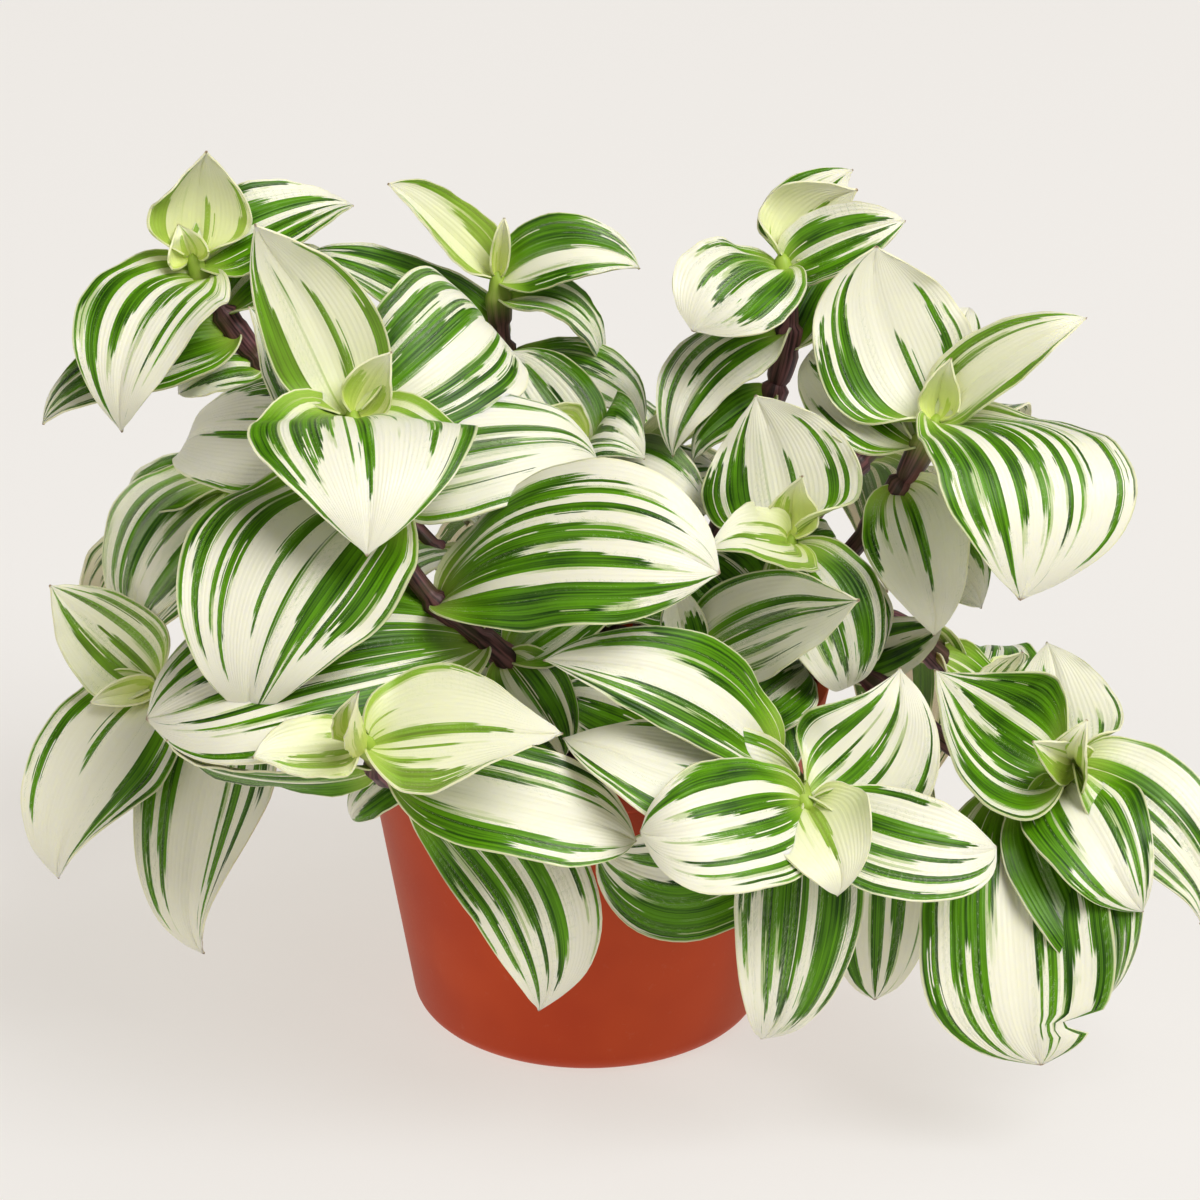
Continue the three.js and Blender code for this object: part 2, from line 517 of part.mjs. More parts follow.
function leafPoses() {
  const poses = [];
  for (const size of SIZES) {
    for (const shift of TIP_SHIFTS) {
      for (const roll of ROLLS) {
        for (const arch of ARCH_SHIFTS) {
          const cost = Math.abs(shift) + Math.abs(roll) / 3 + Math.abs(arch) * 1.5 + 60 * (1 - size);
          poses.push({ size, shift, roll, arch, cost });
        }
      }
    }
  }
  return poses.sort((a, b) => a.cost - b.cost);
}

function boxesNear(a, b, reach) {
  return [0, 1, 2].every((k) => a.min[k] - reach < b.max[k] && b.min[k] - reach < a.max[k]);
}

function isClear(solid, bodies, owner) {
  const box = solid.boundingBox();
  if (box.min[2] < FLOOR_CLEARANCE) return false;
  return bodies.every((body) => {
    if (body.owner === owner || !boxesNear(box, body.box, CLEARANCE)) return true;
    return solid.minGap(body.solid, CLEARANCE * 2) >= CLEARANCE;
  });
}

function bodyOf(owner, solid) {
  return { owner, solid, box: solid.boundingBox() };
}

// Every stem is placed first; then each leaf takes the first pose that stays
// clear of all that stands already and belongs to another shoot.
function growShoots(fixedBodies) {
  const poses = leafPoses();
  const bodies = [...fixedBodies];
  const grown = {};
  for (const [name, shoot] of Object.entries(SHOOTS)) {
    const stem = stemSolid(shoot, STEM_RADIUS);
    bodies.push(bodyOf(name, stem));
    grown[name] = [stem];
  }
  for (const [name, shoot] of Object.entries(SHOOTS)) {
    for (const row of shoot.leaves) {
      const leaf = leafOf(row);
      for (const pose of poses) {
        const solid = leafSolid(shoot, leaf, pose);
        if (isClear(solid, bodies, name)) {
          bodies.push(bodyOf(name, solid));
          grown[name].push(solid);
          break;
        }
      }
    }
  }
  return grown;
}

// ---- pot and soil -------------------------------------------------------

const POT_TAPER = (POT_RIM_RADIUS - RIM_BAND_STEP - POT_BASE_RADIUS) / POT_HEIGHT;
const potRadiusAt = (z) => POT_BASE_RADIUS + POT_TAPER * z;

function lathe(profile, segments) {
  const points = profile.map(([r, z]) => new THREE.Vector2(r, z));
  return new THREE.LatheGeometry(points, segments).rotateX(Math.PI / 2);
}

function potSolid() {
  const bandStart = POT_HEIGHT - RIM_BAND_HEIGHT;
  const outside = [[0, 0], [POT_BASE_RADIUS - POT_CORNER, 0]];
  for (let i = 1; i <= 3; i += 1) {
    const angle = (Math.PI / 2) * (i / 3);
    const z = POT_CORNER * (1 - Math.cos(angle));
    outside.push([potRadiusAt(z) - POT_CORNER * (1 - Math.sin(angle)), z]);
  }
  const profile = [
    ...outside,
    [potRadiusAt(bandStart), bandStart],
    [potRadiusAt(bandStart) + RIM_BAND_STEP, bandStart + 1],
    [POT_RIM_RADIUS - 0.4, POT_HEIGHT - 0.8],
    [POT_RIM_RADIUS - 1, POT_HEIGHT],
    [POT_RIM_RADIUS - RIM_BAND_STEP - POT_WALL + 0.4, POT_HEIGHT],
    [POT_RIM_RADIUS - RIM_BAND_STEP - POT_WALL, POT_HEIGHT - 0.6],
    [potRadiusAt(bandStart) - POT_WALL, bandStart],
    [potRadiusAt(POT_CORNER) - POT_WALL, POT_CORNER],
    [POT_BASE_RADIUS - POT_CORNER, POT_FLOOR],
    [0, POT_FLOOR],
  ];
  let pot = solidOf(lathe(profile, POT_SEGMENTS));
  for (let i = 0; i < DRAIN_HOLES; i += 1) {
    const angle = (2 * Math.PI * i) / DRAIN_HOLES;
    const drill = new THREE.CylinderGeometry(DRAIN_RADIUS, DRAIN_RADIUS, 4 * POT_FLOOR, DRAIN_SIDES);
    drill.rotateX(Math.PI / 2);
    drill.translate(DRAIN_CIRCLE * Math.cos(angle), DRAIN_CIRCLE * Math.sin(angle), 0);
    pot = pot.subtract(solidOf(drill));
  }
  return pot;
}

// The soil fills the pot up to a little below the rim; its top is uneven.
function soilSolid() {
  const random = seededRandom(SEED);
  const edgeHeight = SOIL_TOP - 2 * SOIL_ROUGHNESS;
  const edgeRadius = potRadiusAt(edgeHeight) - POT_WALL - 2 * GAP;
  const profile = [
    [0, POT_FLOOR + GAP],
    [POT_BASE_RADIUS - POT_CORNER - GAP, POT_FLOOR + GAP],
    [potRadiusAt(POT_CORNER) - POT_WALL - GAP, POT_CORNER + GAP],
    [edgeRadius, edgeHeight],
  ];
  for (let i = 1; i <= SOIL_RINGS; i += 1) {
    profile.push([edgeRadius * (1 - i / SOIL_RINGS), SOIL_TOP - SOIL_ROUGHNESS]);
  }
  const geometry = lathe(profile, SOIL_SEGMENTS);
  geometry.deleteAttribute('normal');
  geometry.deleteAttribute('uv');
  const merged = mergeVertices(geometry, 1e-4);
  const position = merged.attributes.position;
  for (let i = 0; i < position.count; i += 1) {
    if (position.getZ(i) > SOIL_TOP - 1.5 * SOIL_ROUGHNESS) {
      position.setZ(i, SOIL_TOP - SOIL_ROUGHNESS + (random() - 0.5) * 2 * SOIL_ROUGHNESS);
    }
  }
  let soil = solidOf(merged);
  for (const shoot of Object.values(SHOOTS)) soil = soil.subtract(stemHole(shoot));
  return onePiece(soil);
}

// ---- materials ----------------------------------------------------------

const CREAM_WHITE = 0xefeedd;
const STRIPE_GREEN = 0x3f7a35;
const TERRACOTTA = 0xa8472c;
const DARK_PEAT = 0x33261c;

const matt = (color, roughness) => new THREE.MeshStandardMaterial({ color, roughness, metalness: 0 });
const terracottaPlastic = () => matt(TERRACOTTA, 0.5);
const pottingSoil = () => matt(DARK_PEAT, 0.95);

// Seen from a step away a shoot's stripes mix to its share of green.
function stripedLeaf(shoot) {
  const shares = shoot.leaves.map((row) => leafOf(row).green);
  const mean = shares.reduce((sum, share) => sum + share, 0) / shares.length;
  const color = new THREE.Color(CREAM_WHITE).lerp(new THREE.Color(STRIPE_GREEN), mean);
  return matt(color, 0.45);
}

// ---- assembly -----------------------------------------------------------

const group = new THREE.Group();
group.name = 'potted_tradescantia';

function addPart(name, solid, material) {
  const mesh = new THREE.Mesh(geometryOf(solid), material);
  mesh.name = name;
  group.add(mesh);
}

const pot = potSolid();
const soil = soilSolid();
addPart('pot', pot, terracottaPlastic());
addPart('soil', soil, pottingSoil());

const grown = growShoots([bodyOf('pot', pot)]);
for (const [name, solids] of Object.entries(grown)) {
  addPart(`shoot_${name}`, onePiece(wasm.Manifold.union(solids)), stripedLeaf(SHOOTS[name]));
}

export default group;
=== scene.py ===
"""Potted tradescantia: the looks of the plant, its pot, its soil and the studio."""
import math
import random
from collections import namedtuple
from itertools import product

import bpy
import numpy as np
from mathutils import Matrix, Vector, kdtree


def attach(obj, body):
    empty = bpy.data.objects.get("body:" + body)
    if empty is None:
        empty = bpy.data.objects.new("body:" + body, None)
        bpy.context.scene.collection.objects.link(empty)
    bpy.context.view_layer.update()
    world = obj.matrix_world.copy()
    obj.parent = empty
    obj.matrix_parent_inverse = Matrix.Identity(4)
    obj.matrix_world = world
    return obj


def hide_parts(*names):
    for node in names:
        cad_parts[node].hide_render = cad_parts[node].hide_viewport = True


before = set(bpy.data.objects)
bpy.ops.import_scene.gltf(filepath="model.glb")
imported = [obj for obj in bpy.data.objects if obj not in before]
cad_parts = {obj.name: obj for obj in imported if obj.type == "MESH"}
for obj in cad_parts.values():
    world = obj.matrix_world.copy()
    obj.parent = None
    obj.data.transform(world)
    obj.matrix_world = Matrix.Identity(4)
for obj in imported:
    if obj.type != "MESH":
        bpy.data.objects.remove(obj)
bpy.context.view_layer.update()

MM = 0.001
FULL_TURN = 2 * math.pi

# Lengths are in mm and places along a leaf run from 0 at its base to 1 at its tip.

# ---- the pot and the soil, as in the frame ----

POT_HEIGHT = 90.0
POT_BASE_RADIUS = 43.5
POT_RIM_RADIUS = 60.0
POT_WALL = 1.6
POT_FLOOR = 2.4
POT_CORNER = 5.0
RIM_BAND_HEIGHT = 11.0
RIM_BAND_STEP = 1.6
SOIL_TOP = 80.0

# ---- stems and leaves, as in the frame ----

STEM_RADIUS = 2.7
LEAF_ROOT = 1.2
LEAF_BELOW_END = 0.15
POINT_POWER = 1.0
ROUND_POWER = 0.55
FULL_POINT_POWER = 0.65
FULL_ROUND_POWER = 0.8
OUTLINE_SAMPLES = 51
FIRST_HANDLE = 0.28
SECOND_HANDLE = 0.75
HANDLE_RISE = 1.3
CUP_FADE = 0.3
LEAST_CUP = 0.1
CLASP_LENGTH = 0.2
CLASP_ANGLE = 100.0
WAVE_SHARE = 0.05
WAVES_ALONG = 9.0
WAVES_ACROSS = 2.0
WAVE_PHASE = 4.0
FRAME_THICKNESS = 0.7

# What only the finer leaf has.
BLADE_THICKNESS = 0.5
BASE_WIDTH_SHARE = 0.02
TIP_HALF_WIDTH = 0.15
RIB_DEPTH = 0.7
RIB_WIDTH = 0.09
FULL_RELIEF_WIDTH = 6
SHOULDER_FROM = 0.5
SHOULDER_POWER = 1.2
SHOULDER_SHARE = 0.11
SHOULDER_LEAST = 0.25
SHOULDER_FULL = 0.5
POINT_LENGTH = 0.035
POINT_SHARE = 0.4
HOOK_FROM = 0.72
HOOK_DOWN = (0.5, 5.5)
HOOK_ASIDE = 3.5
HOOK_FULL_WIDTH = 24
TWIST = 24.0
TWIST_CENTRE = 0.35
MARGIN_WAVE = 0.1
MARGIN_WAVE_SHARES = (0.4, 1.0)
MARGIN_BEATS = (0.9, 2.1)
CRINKLE = 0.25
CRINKLES_ALONG = 34.0
CRINKLES_ACROSS = 3
CRINKLE_PHASE = 7
CRINKLE_POWER = 5

# The leaves of a shoot, by place along the stem counted in stem points, tip, the
# way the upper side faces, width, arch toward the face, sideways bend, cupping in
# degrees, fullness of the outer half, share of green and youth.
Leaf = namedtuple("Leaf", "at tip face width arch bend cup full green young", defaults=[0])

SHOOTS = {}


def shoot(name, patterns, stem, *leaves):
    """Enter a shoot: the stripe patterns of its first leaves, its stem and its leaves."""
    SHOOTS[name] = (patterns, stem, [Leaf(*leaf) for leaf in leaves])


shoot(
    "front_left",
    [8, 14, 9, 6, 8, 13, 9, 10, 10],
    [[-4, -26, 72], [-10, -40, 100], [-20, -50, 117], [-34, -52, 130],
     [-44, -49, 143], [-52, -43, 160], [-55, -36, 174]],
    [6, [-77, -40, 218], [0.25, -1, 0.15], 29, -6, 4, 35, 0, 0.35, 0.2],
    [5.8, [-23, -4, 188], [0.2, -0.75, 0.65], 38, 9, 3, 5, 0.9, 0.5],
    [5.9, [-49, -82, 156], [0.1, -0.75, 0.65], 53, 14, -1, -10, 0, 0.35],
    [5.3, [-77, -14, 192], [0.6, -0.8, 0.1], 22, -4, 0, 30, 0, 0.7],
    [4.7, [-77, -82, 113], [-0.2, -0.8, 0.5], 54, 17, 5, -5, 0, 0.45],
    [4.9, [5, -30, 162], [0, -0.65, 0.75], 34, 9, 0, -5, 0, 0.35],
    [5.5, [-98, 0, 152], [-0.1, -0.6, 0.8], 34, 8, -4, 5, 0, 0.25],
    [2.3, [-102, -74, 109], [-0.1, -0.65, 0.75], 48, 15, 0, -12, 0.7, 0.6],
    [3.1, [31, -77, 150], [-0.05, -0.7, 0.7], 40, 15, -6, -18, 0.75, 0.55],
    [1.9, [10, -38, 127], [0, -0.5, 0.85], 20, 5, 0, 10, 0, 0.75],
    [6, [-46, -40, 188], [0, -1, 0.1], 16, -2, 0, 80, 0, 0.2, 0.9],
    [1, [-44, -30, 106], [0, -0.5, 0.85], 28, 6, 0, 5, 0.2, 0.8],
    [2, [-4, -60, 95], [0.05, -0.8, 0.55], 20, 5, 0, 10, 0, 0.6],
)
shoot(
    "right",
    [8, 2, 10, 5, 9, 8],
    [[28, -2, 72], [48, -6, 105], [65, -10, 128], [76, -12, 146], [84, -10, 162]],
    [4, [68, 4, 199], [0.1, -0.9, 0.4], 39, -5, -3, 20, 0.3, 0.2],
    [4, [118, -14, 187], [-0.2, -0.75, 0.65], 20, 3, -3, 55, 0, 0.3, 0.2],
    [3.9, [102, -52, 131], [0.4, -0.7, 0.6], 51, 20, -5.5, 0, 0.6, 0.45],
    [3.5, [51, 14, 169], [-0.1, -0.6, 0.8], 30, 4, 0, 15, 0, 0.4],
    [2.9, [83, -42, 118], [-0.2, -0.95, 0.2], 27, 7, -3, 5, 0, 0.2],
    [4, [85, -14, 176], [0, -1, 0.1], 13, -2, 0, 80, 0, 0.1, 1],
    [3.4, [93, 22, 180], [0, -0.8, 0.5], 18, 2, 0, 20, 0, 0.2],
    [2.5, [96, -26, 119], [0.3, -0.8, 0.5], 26, 7, 0, 5, 0, 0.6],
)
shoot(
    "low_front",
    [4, 10, 9, 2, 8, 12, 16, 5],
    [[22, -32, 72], [32, -48, 98], [43, -66, 98], [52, -80, 91]],
    [3, [73, -66, 119], [-0.1, -0.85, 0.5], 36, -4, 5, 15, 0, 0.3],
    [2.9, [11, -103, 95], [-0.1, -0.75, 0.65], 33, 8, -4, 5, 0.5, 0.4],
    [3, [60, -102, 81], [0.1, -0.9, 0.4], 27, 5, 0, 45, 0, 0.1, 0.5],
    [2.1, [-10, -80, 128], [-0.1, -0.6, 0.8], 28, 10, 5, -5, 0, 0.55],
    [2.6, [-5, -79, 113], [0, -0.65, 0.75], 30, 6, -7, -5, 0, 0.2],
    [2.7, [42, -88, 32], [0, -0.95, 0.3], 30, 7, -3, 0, 0.1, 0.55],
    [2.3, [4, -84, 85], [0, -1, 0], 36, 2, -15, 10, 0.6, 0.6],
    [2.9, [97, -82, 82], [0, -0.75, 0.65], 26, 5, 6, 10, 0.4, 0.35],
    [1, [54, -30, 106], [0.2, -0.5, 0.85], 26, 6, 0, 5, 0.2, 0.75],
)
shoot(
    "low_left_front",
    [9, 3, 2, 5],
    [[-12, -34, 72], [-25, -54, 98], [-44, -79, 100], [-51, -95, 117]],
    [3, [-6, -99, 118], [0, -0.6, 0.8], 34, 3, -2, 15, 0, 0.2, 0.3],
    [3, [-75, -101, 117], [0.1, -0.6, 0.8], 18, -2, 0, 35, 0, 0.15, 0.5],
    [2.2, [13, -88, 89], [0.1, -0.7, 0.7], 28, 5, 1, 5, 0.5, 0.35],
    [1.9, [-10, -85, 39], [0.05, -0.95, 0.3], 31, 7, -13, -5, 0.35, 0.5],
    [1.4, [-57, -60, 78], [-0.2, -0.6, 0.7], 15, 4, 0, 10, 0, 0.5],
    [2.4, [-97, -78, 106], [0, -0.8, -0.5], 18, 5, 0, 20, 0, 0.8],
    [3, [-52, -106, 131], [-0.7, -0.6, 0.1], 16, 0, 0, 140, 0, 0.3, 1],
)
shoot(
    "low_right",
    [10, 3, 11, 2, 2],
    [[36, -12, 72], [58, -22, 102], [88, -40, 88], [106, -48, 80], [118, -46, 89]],
    [3.6, [85, -50, 113], [0.3, -0.7, 0.6], 43, -3, -4, 55, 0, 0.65],
    [4, [112, -20, 107], [0, -0.85, 0.45], 28, -3, 0, 15, 0, 0.2],
    [4, [150, -62, 52], [0.15, -0.7, 0.7], 28, 9, -4, 5, 0, 0.35],
    [3.5, [130, -76, 61], [0.2, -0.8, 0.5], 30, 7, 2, 10, 0, 0.5],
    [2.7, [104, -88, 26], [0, -0.9, 0.4], 45, 9, 2, 0, 0.8, 0.5],
    [3.1, [124, -80, 42], [0.2, -0.85, 0.4], 32, 7, 0, 10, 0, 0.9],
    [1.5, [70, -50, 23], [-0.1, -0.9, 0.3], 26, 8, 0, 5, 0.6, 0.4],
    [1.1, [86, -22, 112], [0.3, -0.8, 0.4], 16, 3, 0, 20, 0, 0.6],
    [4, [116, -62, 104], [-0.3, -0.9, 0.3], 18, 3, 0, 90, 0, 0.3, 0.9],
    [4, [105, -62, 100], [-0.2, -0.9, 0.4], 14, 2, 0, 70, 0, 0.2, 0.8],
)
shoot(
    "front_centre",
    [13],
    [[10, -34, 72], [18, -38, 98], [26, -40, 113]],
    [2, [60, -66, 135], [0.2, -0.8, 0.5], 26, -5, -4, 25, 0, 0.35],
    [1.8, [20, -44, 133], [0.2, -0.9, 0.3], 12, 0, 0, 20, 0, 0.9],
    [0.7, [-11, -52, 109], [0, -0.8, 0.6], 26, 5, 0, 5, 0, 0.85],
)
shoot(
    "centre",
    [8, 4, 3, 12],
    [[18, -18, 72], [34, -21, 104], [44, -24, 124], [49, -25, 137]],
    [3, [40, -10, 166], [0, -0.9, 0.4], 40, -4, 2, 15, 0, 0.3],
    [3, [29, -52, 150], [0, -0.65, 0.75], 22, 3, -4, 20, 0, 0.3, 0.4],
    [3, [49, -30, 152], [0, -1, 0.2], 15, -3, 0, 65, 0, 0.15, 1],
    [2.7, [62, -48, 103], [0.4, -0.8, 0.5], 30, 10, 0, 5, 0, 0.5],
    [2.2, [72, -28, 108], [0.3, -0.7, 0.6], 24, 8, 0, 5, 0, 0.7],
    [1, [60, 2, 116], [0.1, -0.2, 0.95], 28, 7, 0, 5, 0.2, 0.7],
    [1.7, [28, -2, 122], [0, -0.8, 0.6], 26, 4, 0, 5, 0.2, 0.85],
    [2.3, [69, 4, 127], [0.1, -0.8, 0.6], 24, 4, 0, 5, 0.2, 0.8],
    [0.9, [50, -46, 83], [0.1, -0.8, 0.6], 22, 4, 0, 5, 0.2, 0.75],
)
shoot(
    "low_left",
    [11, 8, 2],
    [[-28, -12, 72], [-58, -18, 98], [-84, -23, 101], [-107, -25, 96]],
    [3, [-128, -25, 123], [0.4, -0.8, 0.3], 26, -3, 0, 30, 0, 0.3, 0.2],
    [2.9, [-129, -46, 54], [-0.2, -0.75, 0.6], 34, 11, 1, 5, 0, 0.15],
    [2, [-97, -52, 36], [-0.3, -0.85, 0.3], 34, 9, 0, 5, 0.1, 0.2],
    [3, [-119, -34, 98], [0.2, -0.8, 0.6], 10, 0, 0, 90, 0, 0.1, 1],
)
shoot(
    "right_back",
    [9, 4, 5, 12, 11],
    [[16, 8, 72], [30, 10, 118], [43, 15, 150], [49, 18, 173], [47, 20, 192]],
    [4, [63, 22, 207], [-0.3, -0.9, 0.3], 26, -4, -3, 60, 0, 0.2, 0.6],
    [3.9, [65, 36, 207], [-0.1, -0.85, 0.45], 20, -2, -4, 30, 0, 0.35],
    [3.8, [77, 18, 201], [-0.1, -0.75, 0.65], 19, 5, 0, 20, 0, 0.5],
    [3.8, [26, -4, 180], [-0.2, -0.65, 0.7], 30, 8, 0, 5, 0.7, 0.4],
    [3, [21, -8, 151], [-0.4, -0.65, 0.6], 23, 6, 6, 5, 0, 0.45],
    [2.3, [24, 0, 147], [0, -0.5, 0.85], 12, 3, 0, 10, 0, 0.9],
    [2.7, [62, 42, 182], [-0.3, -0.6, 0.7], 20, 4, 0, 20, 0, 0.85],
)
shoot(
    "back_left",
    [8, 5, 10],
    [[-14, 14, 72], [-28, 24, 98], [-56, 38, 126], [-80, 48, 150], [-92, 51, 166], [-99, 50, 181]],
    [5, [-95, 50, 206], [0.2, -1, 0.2], 31, -5, 0, 65, 0, 0.25, 0.6],
    [4.8, [-59, 67, 189], [-0.3, -0.7, 0.7], 25, 6, 0, 25, 0, 0.55],
    [4.6, [-115, 14, 147], [-0.3, -0.8, 0.5], 36, 15, 2, 10, 0, 0.3],
    [3.6, [-137, 25, 147], [0.1, -0.5, 0.85], 24, 6, 0, 20, 0, 0.8],
    [3.9, [-62, 66, 172], [-0.3, -0.4, 0.8], 20, 6, 0, 35, 0, 0.7],
    [3.1, [-103, 40, 146], [0, -0.4, 0.9], 22, 5, 0, 20, 0, 0.5],
    [5, [-101, 49, 188], [0, -1, 0.1], 18, 0, 0, 110, 0, 0.1, 1],
    [1.4, [-60, 0, 112], [0, -0.4, 0.9], 30, 7, 0, 5, 0.3, 0.75],
)
shoot(
    "back_centre",
    [2, 14],
    [[-8, 22, 72], [-14, 38, 108], [-20, 52, 140], [-22, 58, 158], [-23, 60, 173]],
    [4, [-49, 60, 197], [0.5, -0.6, 0.5], 20, -2, 2, 65, 0, 0.5, 0.5],
    [4, [14, 58, 175], [0, -0.75, 0.65], 20, 7, -4, 15, 0, 0.6],
    [3.5, [4, 52, 149], [0.4, -0.3, 0.85], 18, 11, 0, 10, 0, 0.7],
    [4, [-21, 60, 187], [0, -1, 0.1], 8, 0, 0, 110, 0, 0.1, 1],
    [2.7, [-72, 62, 177], [0, -0.4, 0.9], 24, 6, 0, 10, 0, 0.7],
    [2.4, [17, 40, 138], [0.3, -0.4, 0.85], 22, 10, 0, 10, 0, 0.6],
)
shoot(
    "middle",
    [],
    [[6, 0, 72], [5, 2, 104], [3, 5, 130], [-1, 7, 147]],
    [3, [15, -4, 149], [0.1, -0.5, 0.85], 24, 9, 0, 5, 0, 0.35],
    [2.6, [30, -20, 139], [0.1, -0.5, 0.85], 24, 8, 0, 10, 0, 0.25],
    [2.9, [-20, 24, 166], [0, -0.6, 0.8], 24, 3, 0, 15, 0, 0.35],
    [3, [-17, -4, 152], [0.1, -0.6, 0.8], 24, 2, 0, 80, 0, 0.5, 0.8],
    [2.2, [35, 20, 134], [0.1, -0.3, 0.9], 22, 7, 0, 10, 0, 0.6],
    [0.8, [-28, -26, 104], [0, -0.4, 0.9], 30, 7, 0, 5, 0.3, 0.8],
    [1.1, [36, -22, 114], [0.1, -0.4, 0.9], 28, 6, 0, 5, 0.3, 0.75],
    [1.4, [-32, 26, 120], [0, 0, 1], 28, 8, 0, 5, 0.2, 0.7],
    [1.6, [30, 44, 116], [0.1, 0.3, 0.9], 28, 8, 0, 5, 0.2, 0.7],
)
shoot(
    "left",
    [],
    [[-30, 6, 72], [-56, 6, 110], [-76, 5, 130], [-90, 3, 139]],
    [3, [-111, -12, 105], [-0.4, -0.8, 0.3], 32, 9, 3, 10, 0, 0.4],
    [2.8, [-116, 18, 120], [-0.2, -0.3, 0.9], 24, 8, 0, 10, 0, 0.85],
)
shoot(
    "back_mid",
    [],
    [[12, 24, 72], [16, 46, 103], [19, 64, 115], [20, 76, 118]],
    [3, [32, 66, 134], [-0.2, 0.5, 0.8], 26, 2, 0, 30, 0, 0.35, 0.3],
    [3, [-8, 96, 128], [0.1, 0.4, 0.9], 30, 7, 0, 15, 0, 0.4],
    [2.9, [44, 112, 100], [0.1, 0.6, 0.8], 38, 12, 0, 5, 0, 0.45],
    [2.5, [8, 118, 70], [0, 0.9, 0.4], 38, 14, 0, 0, 0, 0.5],
    [1.9, [-26, 70, 124], [0, 0.3, 0.95], 26, 7, 0, 10, 0, 0.6],
    [3, [22, 84, 132], [0, 1, 0.1], 12, 0, 0, 90, 0, 0.2, 1],
)
shoot(
    "back_right",
    [],
    [[26, 18, 72], [48, 34, 104], [66, 50, 122], [80, 60, 130]],
    [3, [78, 50, 152], [0.1, 0.9, 0.3], 28, -2, 0, 30, 0, 0.3, 0.2],
    [3, [112, 36, 138], [0.2, 0.3, 0.9], 28, 7, 0, 15, 0, 0.4],
    [3, [112, 92, 112], [0.4, 0.5, 0.8], 38, 12, 0, 5, 0, 0.45],
    [2.8, [66, 104, 124], [0, 0.5, 0.85], 32, 9, 0, 5, 0, 0.4],
    [2.2, [78, 92, 72], [0.3, 0.9, 0.4], 34, 12, 0, 0, 0, 0.5],
    [3, [84, 66, 144], [0, 1, 0.1], 12, 0, 0, 90, 0, 0.2, 1],
)
shoot(
    "back_low_right",
    [],
    [[34, 8, 72], [58, 15, 101], [82, 25, 88], [100, 32, 64]],
    [3, [110, 26, 84], [-0.3, 0.4, 0.9], 26, -2, 0, 30, 0, 0.3, 0.2],
    [3, [134, 44, 40], [0.6, 0.4, 0.7], 34, 11, 0, 5, 0, 0.3],
    [2.8, [104, 76, 56], [0.2, 0.7, 0.7], 34, 9, 0, 5, 0, 0.5],
    [2.3, [120, 8, 34], [0.7, -0.2, 0.7], 30, 9, 0, 5, 0, 0.5],
    [1.9, [84, 62, 22], [0.3, 0.9, 0.4], 34, 10, 0, 0, 0, 0.45],
    [3, [110, 38, 76], [0.2, 0.8, 0.6], 11, 0, 0, 90, 0, 0.2, 1],
)
shoot(
    "back_low_left",
    [],
    [[-24, 18, 72], [-46, 36, 99], [-74, 58, 103], [-94, 68, 96]],
    [3, [-112, 60, 118], [0.3, 0.5, 0.8], 26, -2, 0, 30, 0, 0.3, 0.2],
    [3, [-134, 84, 66], [-0.5, 0.5, 0.7], 34, 11, 0, 5, 0, 0.3],
    [2.8, [-78, 118, 84], [0, 0.7, 0.7], 36, 10, 0, 5, 0, 0.5],
    [2.3, [-122, 44, 58], [-0.8, -0.1, 0.6], 30, 9, 0, 5, 0, 0.5],
    [1.8, [-64, 92, 42], [-0.3, 0.9, 0.4], 36, 11, 0, 0, 0, 0.45],
    [1.4, [-28, 70, 110], [0.1, 0.5, 0.85], 26, 7, 0, 5, 0, 0.55],
    [3, [-102, 78, 108], [0, 1, 0.3], 11, 0, 0, 90, 0, 0.2, 1],
)
shoot(
    "back_low",
    [],
    [[0, 38, 72], [-4, 54, 98], [-9, 82, 96], [-14, 100, 84]],
    [3, [-2, 112, 112], [0.1, -0.2, 0.9], 24, -2, 0, 30, 0, 0.3, 0.2],
    [3, [-38, 122, 56], [-0.3, 0.7, 0.6], 32, 10, 0, 5, 0, 0.3],
    [2.7, [34, 118, 58], [0.3, 0.7, 0.6], 36, 11, 0, 5, 0, 0.45],
    [2.2, [-6, 106, 28], [0, 0.95, 0.3], 36, 10, 0, 0, 0, 0.5],
    [1.8, [36, 84, 60], [0.3, 0.9, 0.4], 30, 9, 0, 0, 0, 0.5],
    [3, [-20, 110, 94], [0, 1, 0.4], 11, 0, 0, 90, 0, 0.2, 1],
)

# The first number of the patterns that the other leaves take.
OTHER_PATTERNS = 20

# Margins that differ from the rule, by shoot and leaf. A torn margin tells which
# side, where along it, how long and how deep; hollow margins tell the share that
# each of the two sides loses toward the tip.
TEARS = {("low_right", 4): (-1, 0.83, 0.024, 0.65)}
HOLLOWS = {
    ("low_left", 1): (0.6, 0.0),
    ("low_left", 2): (0.6, 0.0),
    ("low_left_front", 0): (0.4, 0.55),
}
HOLLOW_FROM = 0.35
HOLLOW_POWER = 1.5

# The ways in which a leaf may have given way to another shoot, and what its roll,
# its arch and its size count beside the shift of its tip along the line of sight.
SIGHT = np.array([0.0, 0.914, -0.407])
TIP_SHIFTS = [0, 4, -4, 8, -8, 12, -12, 17, 22]
ROLLS = [0, 14, -14, 28, -28]
ARCH_SHIFTS = [0, 4, -4]
SIZES = [1, 0.85, 0.7]
DEGREES_PER_MM = 3
ARCH_COST = 1.5
SIZE_COST = 60
SAME_PLACE = 0.05


# ---- leaf form ----


def unit(vectors):
    """One vector or a list of them, made of length 1."""
    return vectors / np.linalg.norm(vectors, axis=-1, keepdims=True)


def past(u, start):
    """0 up to start and from there evenly to 1 at the tip."""
    return np.clip((u - start) / (1 - start), 0, 1)


def polar(radius, angle):
    return radius * math.cos(angle), radius * math.sin(angle)


